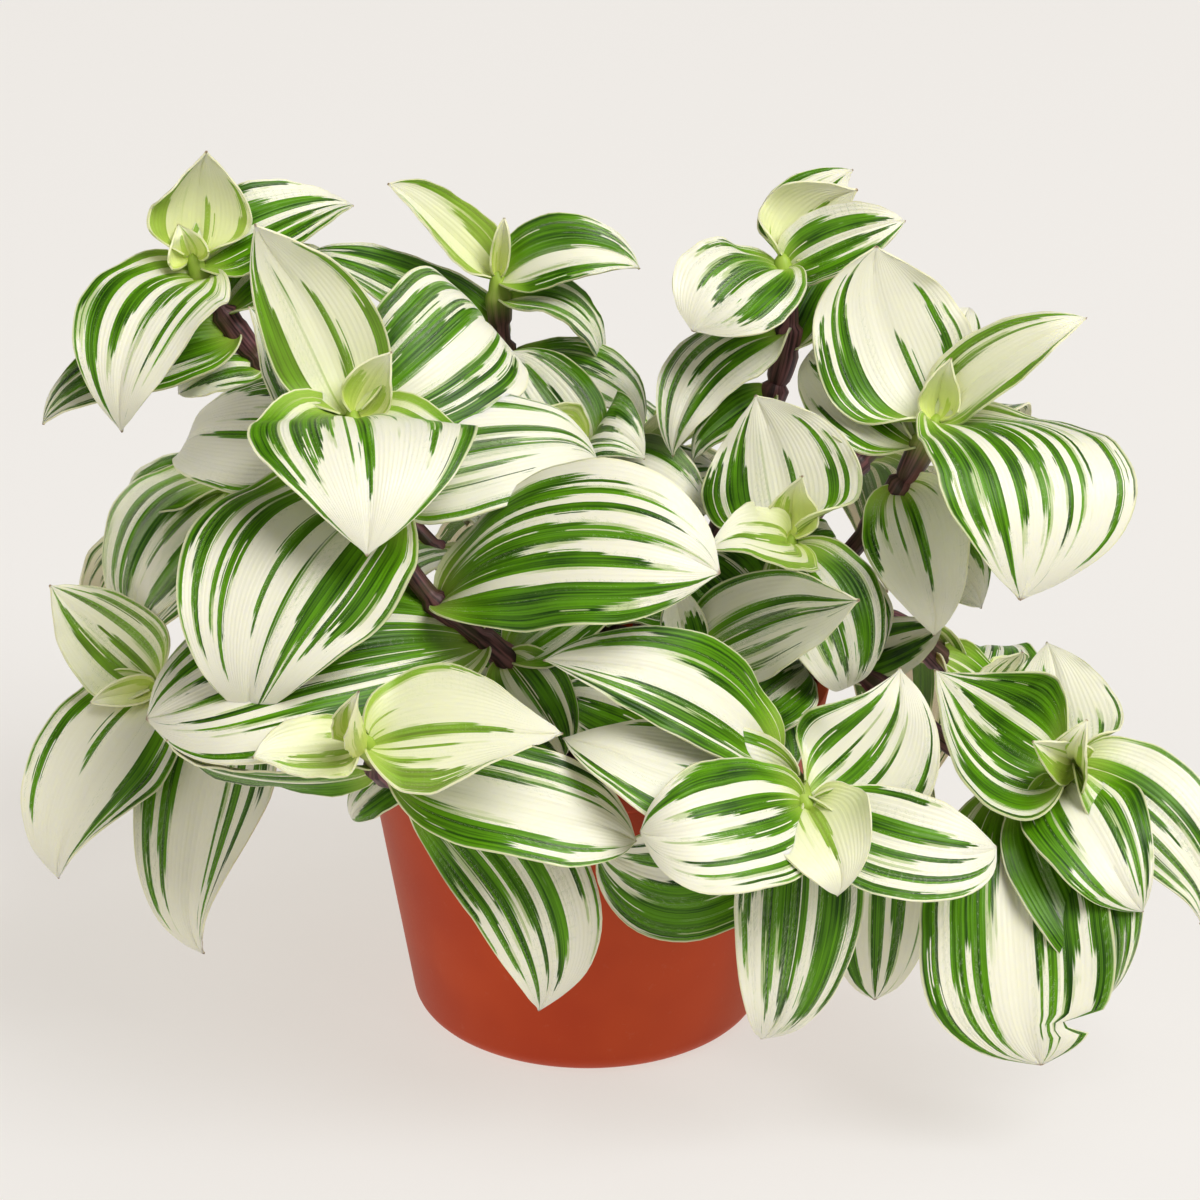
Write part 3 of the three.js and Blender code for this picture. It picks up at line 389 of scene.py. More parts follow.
def stem_points(path, places):
    """Points on the smooth curve through path, at places counted in its points."""
    knots = np.array(path, float)
    last = len(knots) - 1
    knots = np.vstack([2 * knots[0] - knots[1], knots, 2 * knots[-1] - knots[-2]])
    places = np.asarray(places, float)
    first = np.clip(places.astype(int), 0, last - 1)
    t = (places - first)[:, None]
    a, b, c, d = (knots[first + k] for k in range(4))
    start = (c - a) / 2
    end = (d - b) / 2
    cubic = 2 * b - 2 * c + start + end
    square = 3 * c - 3 * b - 2 * start - end
    return cubic * t**3 + square * t**2 + start * t + b


def outline(u, full, base):
    """Half width along the leaf as a share of its greatest half width."""
    point = POINT_POWER + (FULL_POINT_POWER - POINT_POWER) * full
    rounding = ROUND_POWER + (FULL_ROUND_POWER - ROUND_POWER) * full

    def shape(t):
        return (1 - t) ** point * (t + base) ** rounding

    return shape(u) / shape(np.linspace(0, 1, OUTLINE_SAMPLES)).max()


def leaf_midrib(stem, leaf, pose):
    """The midrib's four control points and the direction across the leaf."""
    size, shift, roll, arch_shift = pose
    place = min(leaf.at, len(stem) - 1 - LEAF_BELOW_END)
    axis = stem_points(stem, [place])[0]
    tip = axis + (np.array(leaf.tip, float) + SIGHT * shift - axis) * size
    along = unit(tip - axis)
    base = axis + along * LEAF_ROOT
    chord = tip - base
    face = unit(np.array(leaf.face, float))
    up = unit(face - along * face.dot(along))
    side = np.cross(along, up)
    angle = math.radians(roll)
    across = np.cross(along, up * math.cos(angle) + side * math.sin(angle))
    rise = up * HANDLE_RISE * (leaf.arch + arch_shift) * size + side * HANDLE_RISE * leaf.bend * size
    first = base + chord * FIRST_HANDLE + rise
    second = base + chord * SECOND_HANDLE + rise
    return np.array([base, first, second, tip]), across


def leaf_frames(stem, leaf, pose, u):
    """Midrib points with the normal and the side direction at each u."""
    controls, across = leaf_midrib(stem, leaf, pose)
    t = u[:, None]
    weights = np.hstack([(1 - t) ** 3, 3 * t * (1 - t) ** 2, 3 * t**2 * (1 - t), t**3])
    slopes = np.hstack([(1 - t) ** 2, 2 * t * (1 - t), t**2])
    tangent = unit(slopes @ np.diff(controls, axis=0))
    normal = unit(np.cross(across, tangent))
    return weights @ controls, normal, np.cross(tangent, normal)


def pose_cost(pose):
    """How much a pose changes a leaf, counted in millimetres of tip shift."""
    size, shift, roll, arch = pose
    return abs(shift) + abs(roll) / DEGREES_PER_MM + abs(arch) * ARCH_COST + SIZE_COST * (1 - size)


POSES = sorted(product(SIZES, TIP_SHIFTS, ROLLS, ARCH_SHIFTS), key=pose_cost)


def node_tree(name):
    """A search tree over the corners of one of the frame's nodes, in mm."""
    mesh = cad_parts[name].data
    tree = kdtree.KDTree(len(mesh.vertices))
    for index, vertex in enumerate(mesh.vertices):
        tree.insert(vertex.co / MM, index)
    tree.balance()
    return tree


def pose_in_frame(stem, leaf, tree):
    """The pose of the frame's leaf: its tip is a corner of the node."""
    for pose in POSES:
        middle, normal, _ = leaf_frames(stem, leaf, pose, np.array([1.0]))
        tips = [middle[0] + normal[0] * FRAME_THICKNESS / 2 * sign for sign in (1, -1)]
        if all(tree.find(Vector(tip))[2] < SAME_PLACE for tip in tips):
            return pose
    return POSES[0]


def margin_share(u, v, key):
    """What is left of the blade's width at each place, 1 without a tear or a hollow."""
    share = np.ones((len(u), len(v)))
    if key in TEARS:
        way, place, length, depth = TEARS[key]
        notch = depth * np.exp(-(((u - place) / length) ** 2))
        share -= notch[:, None] * np.clip(v * way, 0, 1)
    if key in HOLLOWS:
        low_side, high_side = HOLLOWS[key]
        hollow = np.sin(math.pi / 2 * past(u, HOLLOW_FROM)) ** HOLLOW_POWER
        share -= hollow[:, None] * (low_side * np.clip(-v, 0, 1) + high_side * np.clip(v, 0, 1))
    return share


def blade_half_width(u, leaf, size):
    """Half the blade's width at each u, with a soft shoulder and a drawn-out point."""
    half_width = leaf.width / 2 * outline(u, leaf.full, BASE_WIDTH_SHARE) * size
    shoulder = past(u, SHOULDER_FROM) ** SHOULDER_POWER
    fullness = SHOULDER_LEAST + (1 - SHOULDER_LEAST) * min(1, leaf.full / SHOULDER_FULL)
    half_width += leaf.width / 2 * size * (SHOULDER_SHARE * fullness) * np.sin(math.pi * shoulder)
    half_width *= 1 - POINT_SHARE * np.exp(-(((1 - u) / POINT_LENGTH) ** 2))
    half_width[-1] = TIP_HALF_WIDTH
    return half_width[:, None]


def hook_and_twist(u, width, frames, chance):
    """The midrib's frames, bent down and aside at the tip and twisted."""
    middle, normal, side = frames
    hook = past(u, HOOK_FROM)[:, None] ** 2
    reach = min(1.0, width / HOOK_FULL_WIDTH)
    middle = middle - normal * hook * reach * chance.uniform(*HOOK_DOWN)
    middle = middle + side * hook * reach * chance.uniform(-HOOK_ASIDE, HOOK_ASIDE)
    twist = np.radians(chance.uniform(-TWIST, TWIST)) * (u - TWIST_CENTRE)[:, None]
    turned_side = side * np.cos(twist) + normal * np.sin(twist)
    turned_normal = normal * np.cos(twist) - side * np.sin(twist)
    return middle, turned_normal, turned_side


def cup_angle(u, cup):
    """How far each half of the blade bends up; its base clasps the stem."""
    clasp = np.clip(1 - u / CLASP_LENGTH, 0, 1) ** 2
    degrees = cup * (1 - CUP_FADE * u) * (1 - clasp) + CLASP_ANGLE * clasp
    return np.radians(np.where(np.abs(degrees) < LEAST_CUP, LEAST_CUP, degrees))[:, None]


def margin_waves(along, v, half_width, chance):
    """How far the two margins rise and fall, each with a beat of its own."""
    lift = 0
    for way in (-1, 1):
        beat = chance.uniform(*MARGIN_BEATS) * FULL_TURN
        phase = chance.uniform(0, FULL_TURN)
        share = MARGIN_WAVE * chance.uniform(*MARGIN_WAVE_SHARES)
        on_side = np.clip(v * way, 0, 1)
        lift = lift + share * half_width * on_side**3 * np.sin(beat * along + phase)
    return lift


NO_LENGTH = 1e-9


def grid_normals(points, normal):
    """Unit normals of a grid of points, on the side that normal faces."""
    facing = np.cross(np.gradient(points, axis=0), np.gradient(points, axis=1))
    length = np.linalg.norm(facing, axis=2, keepdims=True)
    facing = np.where(length > NO_LENGTH, facing / np.maximum(length, NO_LENGTH), normal[:, None])
    return facing * np.sign((facing * normal[:, None]).sum(axis=2, keepdims=True).mean())


def leaf_surface(stem, leaf, pose, u, v, chance, key):
    """The blade's middle surface and its normals at each u and v, in mm."""
    middle, normal, side = hook_and_twist(u, leaf.width, leaf_frames(stem, leaf, pose, u), chance)
    half_width = blade_half_width(u, leaf, pose[0])
    relief = np.minimum(1, half_width / FULL_RELIEF_WIDTH)
    bend = cup_angle(u, leaf.cup)
    along = u[:, None]
    swing = np.sin(WAVES_ALONG * along + WAVES_ACROSS * v + WAVE_PHASE * leaf.at)
    crinkle = np.sin(CRINKLES_ALONG * along + CRINKLES_ACROSS * v + CRINKLE_PHASE * leaf.at)
    out = half_width * margin_share(u, v, key) * np.sin(bend * v) / bend
    lift = half_width * ((1 - np.cos(bend * v)) / bend + WAVE_SHARE * swing * v**2)
    lift = lift - RIB_DEPTH * np.exp(-((v / RIB_WIDTH) ** 2)) * relief
    lift = lift + margin_waves(along, v, half_width, chance)
    lift = lift + CRINKLE * relief * np.abs(v) ** CRINKLE_POWER * crinkle
    points = middle[:, None] + side[:, None] * out[..., None] + normal[:, None] * lift[..., None]
    return points, grid_normals(points, normal)


# ---- mesh building ----

TOP, UNDER, STEM = range(3)
NO_TRAITS = (0, 0, 0)


class MeshDraft:
    """Vertices with two vector attributes, and faces with material numbers."""

    def __init__(self):
        self.points = []
        self.places = []
        self.traits = []
        self.faces = []
        self.slots = []
        self.count = 0

    def add(self, points, faces, slot, places=NO_TRAITS, traits=NO_TRAITS):
        """Add points and faces; slot is one material number or one for each face."""
        points = np.asarray(points, float).reshape(-1, 3)
        self.points.append(points)
        self.places.append(np.broadcast_to(places, points.shape))
        self.traits.append(np.broadcast_to(traits, points.shape))
        self.faces += [[index + self.count for index in face] for face in faces]
        self.slots += [slot] * len(faces) if isinstance(slot, int) else slot
        self.count += len(points)

    def build(self, name, materials, sharp_degrees=50):
        """A smooth mesh object, with sharp edges above an angle."""
        mesh = bpy.data.meshes.new(name)
        mesh.from_pydata((np.vstack(self.points) * MM).tolist(), [], self.faces)
        for key, values in (("leaf_place", self.places), ("leaf_traits", self.traits)):
            attribute = mesh.attributes.new(key, "FLOAT_VECTOR", "POINT")
            attribute.data.foreach_set("vector", np.vstack(values).astype(np.float32).ravel())
        for material in materials:
            mesh.materials.append(material)
        mesh.polygons.foreach_set("material_index", self.slots)
        mesh.polygons.foreach_set("use_smooth", [True] * len(self.faces))
        mesh.set_sharp_from_angle(angle=math.radians(sharp_degrees))
        mesh.update()
        return linked(bpy.data.objects.new(name, mesh))


def linked(thing):
    bpy.context.collection.objects.link(thing)
    return thing


def ring_faces(rings, segments):
    """The faces of a closed tube: quads between its rings and a cap at each end."""
    faces = []
    for i in range(rings - 1):
        for j in range(segments):
            low, high = i * segments, (i + 1) * segments
            k = (j + 1) % segments
            faces.append([low + j, low + k, high + k, high + j])
    faces.append(list(range(segments))[::-1])
    faces.append([(rings - 1) * segments + j for j in range(segments)])
    return faces


WIDE_LEAF = 28
NARROW_LEAF = 16


def blade_grid(width):
    """Places along and across a blade, more on a wide one and closer at its ends."""
    rows, columns = 20, 10
    if width > NARROW_LEAF:
        rows, columns = 26, 14
    if width >= WIDE_LEAF:
        rows, columns = 34, 20
    even = np.linspace(0, 1, rows + 1)
    return even / 2 + (1 - np.cos(math.pi * even)) / 4, np.linspace(-1, 1, columns + 1)


def blade_faces(rows, columns):
    """Faces and material numbers of both sheets and of the margin."""
    across = columns + 1
    layer = (rows + 1) * across
    faces = []
    slots = []
    for i in range(rows):
        for j in range(columns):
            a = i * across + j
            quad = [a, a + 1, a + across + 1, a + across]
            faces.append(quad)
            faces.append([index + layer for index in reversed(quad)])
            slots += [TOP, UNDER]
    rim = [i * across + columns for i in range(rows + 1)]
    rim += [rows * across + j for j in range(columns - 1, -1, -1)]
    rim += [i * across for i in range(rows - 1, -1, -1)]
    rim += list(range(1, columns))
    for start, end in zip(rim, rim[1:] + rim[:1]):
        faces.append([end, start, start + layer, end + layer])
        slots.append(TOP)
    return faces, slots


def add_leaf(draft, stem, leaf, pose, seed, pattern, key):
    """A closed blade: two sheets with the thickness between them."""
    u, v = blade_grid(leaf.width)
    points, facing = leaf_surface(stem, leaf, pose, u, v, random.Random(seed), key)
    half = facing * BLADE_THICKNESS / 2
    both = np.vstack([(points + half).reshape(-1, 3), (points - half).reshape(-1, 3)])
    u_grid, v_grid = np.meshgrid(u, v, indexing="ij")
    places = np.stack([u_grid, v_grid, np.full_like(u_grid, pattern)], axis=-1).reshape(-1, 3)
    faces, slots = blade_faces(len(u) - 1, len(v) - 1)
    traits = (leaf.green, leaf.young, leaf.width / 2 * pose[0])
    draft.add(both, faces, slots, np.vstack([places, places]), traits)


STEM_SIDES = 14
NEARLY_SIDEWAYS = 0.8


def add_tube(draft, centres, radii, slot, places=None, length=0, sides=STEM_SIDES):
    """A closed tube round the centres, marked with its places along and round it."""
    centres = np.asarray(centres, float)
    tangent = unit(np.gradient(centres, axis=0))
    helper = [1.0, 0.0, 0.0] if abs(tangent[0][0]) < NEARLY_SIDEWAYS else [0.0, 1.0, 0.0]
    first = unit(np.cross(tangent, helper))
    second = np.cross(tangent, first)
    angle = np.linspace(0, FULL_TURN, sides, endpoint=False)
    ring = first[:, None] * np.cos(angle)[:, None] + second[:, None] * np.sin(angle)[:, None]
    points = centres[:, None] + ring * np.asarray(radii)[:, None, None]
    tube_places = np.zeros(points.shape)
    tube_places[..., 1] = angle / FULL_TURN
    if places is not None:
        tube_places[..., 0] = places[:, None]
    faces = ring_faces(len(centres), sides)
    draft.add(points, faces, slot, tube_places.reshape(-1, 3), (length, 0, 0))


NODE_SWELL = 0.9
SHEATH_LENGTH = 8.0
SHEATH_ABOVE = 1.5
STEM_SAMPLES = 400
RINGS_PER_MM = 0.8
STEM_TAPER = 0.5
STEM_END_SHARE = 0.6
STEM_END_LENGTH = 7.0
FOOT_SHARE = 0.8
CAP_SHARE = 0.5


def add_stem(draft, stem, leaves):
    """The stem, swollen where a leaf sheath wraps it and thinner toward its end."""
    samples = np.linspace(0, len(stem) - 1, STEM_SAMPLES)
    steps = np.linalg.norm(np.diff(stem_points(stem, samples), axis=0), axis=1)
    travelled = np.concatenate([[0], np.cumsum(steps)])
    total = travelled[-1]
    s = np.linspace(0, total, int(total * RINGS_PER_MM))
    centres = stem_points(stem, np.interp(s, travelled, samples))
    radii = STEM_RADIUS - STEM_TAPER * s / total
    for leaf in leaves:
        below = np.interp(leaf.at, samples, travelled) + SHEATH_ABOVE - s
        wrapped = (below > 0) & (below < SHEATH_LENGTH)
        swell = NODE_SWELL * np.sqrt(np.clip(1 - below / SHEATH_LENGTH, 0, 1))
        radii = np.where(wrapped, np.maximum(radii, STEM_RADIUS + swell), radii)
    radii *= 1 - STEM_END_SHARE * np.clip((s - total) / STEM_END_LENGTH + 1, 0, 1)
    radii[0] *= FOOT_SHARE
    radii[-1] *= CAP_SHARE
    add_tube(draft, centres, radii, STEM, s, total)


# ---- shader helpers ----


def operator(name, swapped=False):
    """A method that works out a new value from two others."""
    def method(this, other):
        return this.shader.math(name, *((other, this) if swapped else (this, other)))

    return method


class Value:
    """A number that varies over a surface; sums and products of it become nodes."""

    def __init__(self, shader, socket):
        self.shader = shader
        self.socket = socket

    def __abs__(self):
        return self.shader.math("ABSOLUTE", self)

    __add__ = operator("ADD")
    __sub__ = operator("SUBTRACT")
    __rsub__ = operator("SUBTRACT", swapped=True)
    __mul__ = operator("MULTIPLY")
    __truediv__ = operator("DIVIDE")
    __pow__ = operator("POWER")


class Shader:
    """A small wrapper for building node materials."""

    def __init__(self, name):
        self.material = bpy.data.materials.new(name)
        self.material.use_nodes = True
        self.tree = self.material.node_tree
        self.principled = self.tree.nodes["Principled BSDF"]

    def plug(self, socket, value):
        """Link a socket to a value, or set it to a constant."""
        if isinstance(value, Value):
            value = value.socket
        if isinstance(value, bpy.types.NodeSocket):
            self.tree.links.new(value, socket)
        else:
            socket.default_value = value

    def node(self, kind, *values, **inputs):
        """A new node with its first inputs and its named inputs plugged."""
        made = self.tree.nodes.new(kind)
        for socket, value in zip(made.inputs, values):
            self.plug(socket, value)
        for key, value in inputs.items():
            self.plug(made.inputs[key.replace("_", " ")], value)
        return made

    def math(self, operation, *values):
        made = self.node("ShaderNodeMath", *values)
        made.operation = operation
        return Value(self, made.outputs[0])

    def step(self, value, start, end):
        """0 at start, 1 at end and smooth between; end may be the lower one."""
        made = self.node("ShaderNodeMapRange", Value=value, From_Min=start, From_Max=end)
        made.interpolation_type = "SMOOTHSTEP"
        return Value(self, made.outputs["Result"])

    def fade(self, value, start, end, share):
        """A step that ends at the given share."""
        return self.step(value, start, end) * share

    def mix(self, share, a, b):
        made = self.tree.nodes.new("ShaderNodeMix")
        made.data_type = "RGBA"
        for key, value in (("Factor", share), ("A", a), ("B", b)):
            self.plug(made.inputs[key], value)
        return made.outputs["Result"]

    def attribute(self, name):
        """The three parts of one of the mesh's vector attributes."""
        made = self.tree.nodes.new("ShaderNodeAttribute")
        made.attribute_name = name
        split = self.node("ShaderNodeSeparateXYZ", made.outputs["Vector"])
        return [Value(self, socket) for socket in split.outputs]

    def vector(self, x, y, z):
        return self.node("ShaderNodeCombineXYZ", x, y, z).outputs[0]

    def random3(self, a, b):
        """Three random values that stay the same for each pair a, b."""
        made = self.node("ShaderNodeTexWhiteNoise", self.vector(a, b, 0.5))
        split = self.node("ShaderNodeSeparateColor", made.outputs["Color"])
        return [Value(self, socket) for socket in split.outputs]

    def noise(self, place, scale=1.0, detail=0.0, roughness=0.5):
        """Smooth noise between 0 and 1 at a place, given as a vector or as its parts."""
        if isinstance(place, tuple):
            place = self.vector(*place)
        made = self.node(
            "ShaderNodeTexNoise", Vector=place, Scale=scale, Detail=detail, Roughness=roughness
        )
        return Value(self, made.outputs["Fac"])

    def bump(self, height, strength, distance):
        """A normal from a height; the distance is in mm."""
        made = self.node("ShaderNodeBump", Height=height, Strength=strength, Distance=distance * MM)
        return made.outputs["Normal"]

    def finish(self, color, roughness, normal=None, **constants):
        """Set what the surface looks like and give back the material."""
        self.plug(self.principled.inputs["Base Color"], color)
        self.plug(self.principled.inputs["Roughness"], roughness)
        if normal is not None:
            self.plug(self.principled.inputs["Normal"], normal)
        for key, value in constants.items():
            self.principled.inputs[key.replace("_", " ")].default_value = value
        return self.material


def srgb(red, green, blue):
    """A linear colour from 0..255 screen values."""
    def linear(value):
        value /= 255
        return value / 12.92 if value <= 0.04045 else ((value + 0.055) / 1.055) ** 2.4

    return (linear(red), linear(green), linear(blue), 1.0)


# ---- leaf materials ----

CREAM = srgb(241, 240, 226)
CREAM_SHADE = srgb(234, 231, 203)
PALE_GREEN = srgb(172, 192, 120)
DEEP_GREEN = srgb(18, 60, 2)
MID_GREEN = srgb(106, 162, 20)
BRIGHT_GREEN = srgb(134, 188, 20)
LEAF_BASE_GREEN = srgb(206, 220, 118)
YOUNG_GREEN = srgb(226, 236, 132)
UNDER_GREEN = srgb(84, 118, 40)
UNDER_CREAM = srgb(224, 222, 180)
MARGIN = srgb(234, 232, 200)
DRY_TIP = srgb(150, 112, 84)

# The veins, and the widest and narrowest stripes that follow them.
VEIN_PITCH = 0.7
WIDEST_PITCH = 8.5
NARROWEST_PITCH = 4.6

# What adds to a vein's green, and by how much: an even beat, broad and narrow
# noise, chance, one side of the blade, its margins, and the groove beside a vein.
BEAT_PART = 0.2
BROAD_PART = 0.8
NARROW_PART = 0.2
CHANCE_PART = 0.07
SIDE_PART = 0.24
MARGIN_PART = 0.08
GROOVE_PART = 0.035

# The bar that a vein's green has to pass; it rises toward the tip.
PLAIN_BAR = 0.1
GREEN_LOWERS_BAR = 0.42
BAR_POWER = 2.6
BAR_RISE = 0.18
BAR_RISE_CHANCE = 0.5
STRIPE_SOFTNESS = 0.012

# How unevenly the stripes are spaced, and what keeps one leaf's draws from another's.
STRIPE_WARP = 2.4
LEAVES_APART = 9.7
STRIPE_DRAW = 7.5
BAR_DRAW = 3.5

# How much a hairline breaks up along its vein, and how softly it comes and ends.
HAIRLINE_BREAKS = 1.2
HAIRLINE_FADE = 0.03
HAIRLINE_EDGE = 0.12

# Where each colour comes in, where it is full, and its share then: along the leaf,
# and across it for the margin.
BRIGHT_BASE = (0.35, 0.02, 0.6)
PALE_BASE = (0.2, 0.0, 0.45)
DRY_END = (0.985, 0.998, 0.75)
PALE_MARGIN = (0.965, 0.99, 0.8)
YOUNG_LENGTH = (1.2, 0.15)
YOUNG_SHARE = 0.75
YOUNG_BRIGHTNESS = 0.8

UNDER_CREAM_SHARE = 0.45
UNDER_GREEN_SHARE = 0.5
RIB_PITCH = 1.25

# Roughness and strength of the relief, on the upper side and on the under side.
TOP_FINISH = (0.3, 0.42)
UNDER_FINISH = (0.42, 0.5)


class Stripes:
    """Green ribbons along the veins; fewer and fewer of them reach toward the tip."""

    def __init__(self, shader):
        self.shader = shader
        self.u, self.v, self.seed = shader.attribute("leaf_place")
        self.green, self.young, half_width = shader.attribute("leaf_traits")
        self.across = self.v * half_width
        veins = self.across / VEIN_PITCH
        self.vein = shader.math("FLOOR", veins)
        self.beside = abs(veins - self.vein - 0.5)
        self.chance = shader.random3(self.vein, self.seed)
        self.fibre = self.streaks(per_mm=2.4, along=2.0, detail=2.0)
        self.over = self.level() - self.bar()

    def streaks(self, per_mm, along, **kind):
        """Noise that changes so fast across the leaf and so fast from base to tip."""
        return self.shader.noise((self.across * per_mm, self.u * along, self.seed), **kind)

    def level(self):
        """How green each vein is."""
        whim = self.shader.random3(self.seed, STRIPE_DRAW)
        place = self.vein * VEIN_PITCH

        def uneven(per_mm, along):
            return self.shader.noise((place * per_mm, self.seed * LEAVES_APART, along))

        pitch = whim[0] * (WIDEST_PITCH - NARROWEST_PITCH) + NARROWEST_PITCH
        turn = place / pitch + (uneven(per_mm=0.11, along=1.0) * STRIPE_WARP + whim[1])
        broad = uneven(per_mm=0.24, along=self.u * 0.7)
        narrow = uneven(per_mm=0.8, along=self.u * 0.9 + 5.0)
        level = self.shader.math("COSINE", turn * FULL_TURN) * BEAT_PART
        level = level + (broad - 0.5) * BROAD_PART
        level = level + (narrow - 0.5) * NARROW_PART
        level = level + (self.chance[0] - 0.5) * CHANCE_PART
        level = level + (whim[2] - 0.5) * SIDE_PART * self.v
        level = level + abs(self.v) ** 3.0 * MARGIN_PART
        return level - self.beside * GROOVE_PART

    def bar(self):
        """What a vein's level has to pass to show."""
        rise = self.shader.random3(self.seed, BAR_DRAW)[0] * BAR_RISE_CHANCE + BAR_RISE
        return PLAIN_BAR - self.green * GREEN_LOWERS_BAR + self.u**BAR_POWER * rise

    def above(self, height):
        """1 where the level passes the bar by the given height."""
        return self.shader.step(self.over, height - STRIPE_SOFTNESS, height + STRIPE_SOFTNESS)

    def hairlines(self, share, offset, width):
        """1 on thin lines along some veins, each over a part of the length only."""
        shader = self.shader
        chance = shader.random3(self.vein + offset, self.seed)[0]
        stretch = shader.noise((self.vein * 3.3, self.u * 2.6, self.seed + offset))
        drawn = chance + (stretch - 0.5) * HAIRLINE_BREAKS
        chosen = shader.step(drawn, share + HAIRLINE_FADE, share)
        return chosen * shader.step(self.beside, width, width - HAIRLINE_EDGE)

    def mask(self):
        """1 on the stripes, less their pale hairlines, and on some lone dark ones."""
        pale = self.hairlines(share=-0.04, offset=300.0, width=0.28)
        lone = self.hairlines(share=-0.1, offset=500.0, width=0.26) * self.above(-0.2)
        return self.shader.math("MAXIMUM", self.above(0.0) * (1.0 - pale), lone)


def cream_color(stripes, is_top):
    """The pale part of the blade, washed with light green beside some stripes."""
    shader = stripes.shader
    patch = stripes.streaks(per_mm=0.12, along=2.4)
    wash = stripes.above(-0.07) * shader.step(stripes.chance[1], 0.35, 0.5)
    wash = wash * shader.step(patch, 0.42, 0.6)
    color = shader.mix(stripes.fibre * 0.4, CREAM, CREAM_SHADE)
    color = shader.mix(wash * 0.7, color, PALE_GREEN)
    return color if is_top else shader.mix(UNDER_CREAM_SHARE, color, UNDER_CREAM)


def green_color(stripes, is_top):
    """The stripes' green, brighter toward the leaf's base and on a young leaf."""
    shader = stripes.shader
    cloud = stripes.streaks(per_mm=1.0, along=22.0, scale=0.16, detail=2.0)
    tone = stripes.chance[2] * 0.25 + stripes.fibre * 0.75 + cloud * 0.5
    color = shader.mix(shader.step(tone, 0.46, 0.98), DEEP_GREEN, MID_GREEN)
    base = shader.fade(stripes.u, *BRIGHT_BASE)
    bright = shader.math("MAXIMUM", base, stripes.young * YOUNG_BRIGHTNESS)
    color = shader.mix(bright, color, BRIGHT_GREEN)
    return color if is_top else shader.mix(UNDER_GREEN_SHARE, color, UNDER_GREEN)


def leaf_relief(stripes, mask, strength):
    """Fine ribs along the blade, and puckers across its green."""
    shader = stripes.shader
    ribs = shader.math("SINE", stripes.across * (FULL_TURN / RIB_PITCH))
    pucker = stripes.streaks(per_mm=0.55, along=46.0, detail=2.0)
    height = ribs * 0.35 + stripes.fibre + pucker * mask * 0.9
    return shader.bump(height, strength, 0.15)


def leaf_material(name, is_top):
    """Cream blade with ragged green stripes that run along the veins."""
    shader = Shader(name)
    stripes = Stripes(shader)
    mask = stripes.mask()
    color = shader.mix(mask, cream_color(stripes, is_top), green_color(stripes, is_top))
    color = shader.mix(shader.fade(stripes.u, *PALE_BASE), color, LEAF_BASE_GREEN)
    youth = stripes.young * shader.step(stripes.u, *YOUNG_LENGTH)
    color = shader.mix(youth * YOUNG_SHARE, color, YOUNG_GREEN)
    color = shader.mix(shader.fade(abs(stripes.v), *PALE_MARGIN), color, MARGIN)
    color = shader.mix(shader.fade(stripes.u, *DRY_END), color, DRY_TIP)
    roughness, relief = TOP_FINISH if is_top else UNDER_FINISH
    return shader.finish(
        color,
        stripes.fibre * 0.16 + roughness,
        leaf_relief(stripes, mask, relief),
        Specular_IOR_Level=0.32,
        Subsurface_Weight=0.3,
        Subsurface_Scale=0.6 * MM,
        Subsurface_Radius=(1.0, 1.0, 0.35),
    )


# ---- other materials ----


def stem_material():
    """Purple-brown stem, striped along its length and greener toward its young end."""
    shader = Shader("stem_purple_brown")
    s, turn, _ = shader.attribute("leaf_place")
    total = shader.attribute("leaf_traits")[0]
    lines = shader.noise((turn * 26.0, s * 0.05, total), detail=2.0)
    blotch = shader.noise((turn * 3.0, s * 0.12, total), detail=2.0)
    color = shader.mix(shader.step(lines, 0.38, 0.62), srgb(58, 32, 37), srgb(132, 88, 92))
    color = shader.mix(shader.fade(blotch, 0.48, 0.66, 0.4), color, srgb(88, 86, 48))
    color = shader.mix(shader.fade(total - s, 14.0, 2.0, 0.9), color, srgb(176, 204, 84))
    return shader.finish(color, lines * 0.2 + 0.36, shader.bump(lines, 0.4, 0.2))


def object_place(shader):
    """The surface point in millimetres, for textures of the pot and the soil."""
    place = shader.node("ShaderNodeTexCoord").outputs["Object"]
    scaled = shader.node("ShaderNodeVectorMath", place)
    scaled.operation = "SCALE"
    scaled.inputs["Scale"].default_value = 1 / MM
    return scaled.outputs[0]


def pot_material():
    """Terracotta-coloured moulded plastic with a soft sheen and faint scuffs."""
    shader = Shader("pot_terracotta_plastic")
    place = object_place(shader)
    cloud = shader.noise(place, scale=0.03, detail=2.0)
    grain = shader.noise(place, scale=1.6, detail=2.0)
    scuff = shader.noise(place, scale=0.35, detail=4.0, roughness=0.7)
    color = shader.mix(shader.step(cloud, 0.3, 0.7), srgb(190, 70, 27), srgb(202, 81, 33))
    color = shader.mix(shader.fade(scuff, 0.6, 0.75, 0.12), color, srgb(206, 140, 112))
    relief = shader.bump(grain, 0.12, 0.1)
    return shader.finish(color, grain * 0.1 + 0.4, relief, Specular_IOR_Level=0.3)


def soil_material():
    """Dark peat with paler fibres."""
    shader = Shader("soil_dark_peat")
    place = object_place(shader)
    clod = shader.noise(place, scale=0.35, detail=5.0, roughness=0.65)
    fine = shader.noise(place, scale=2.2, detail=3.0, roughness=0.7)
    color = shader.mix(shader.step(clod, 0.35, 0.65), srgb(30, 22, 17), srgb(74, 56, 42))
    color = shader.mix(shader.fade(fine, 0.6, 0.75, 0.5), color, srgb(112, 90, 68))
    return shader.finish(color, 1.0 - fine * 0.2, shader.bump(clod + fine * 0.4, 0.9, 0.8))


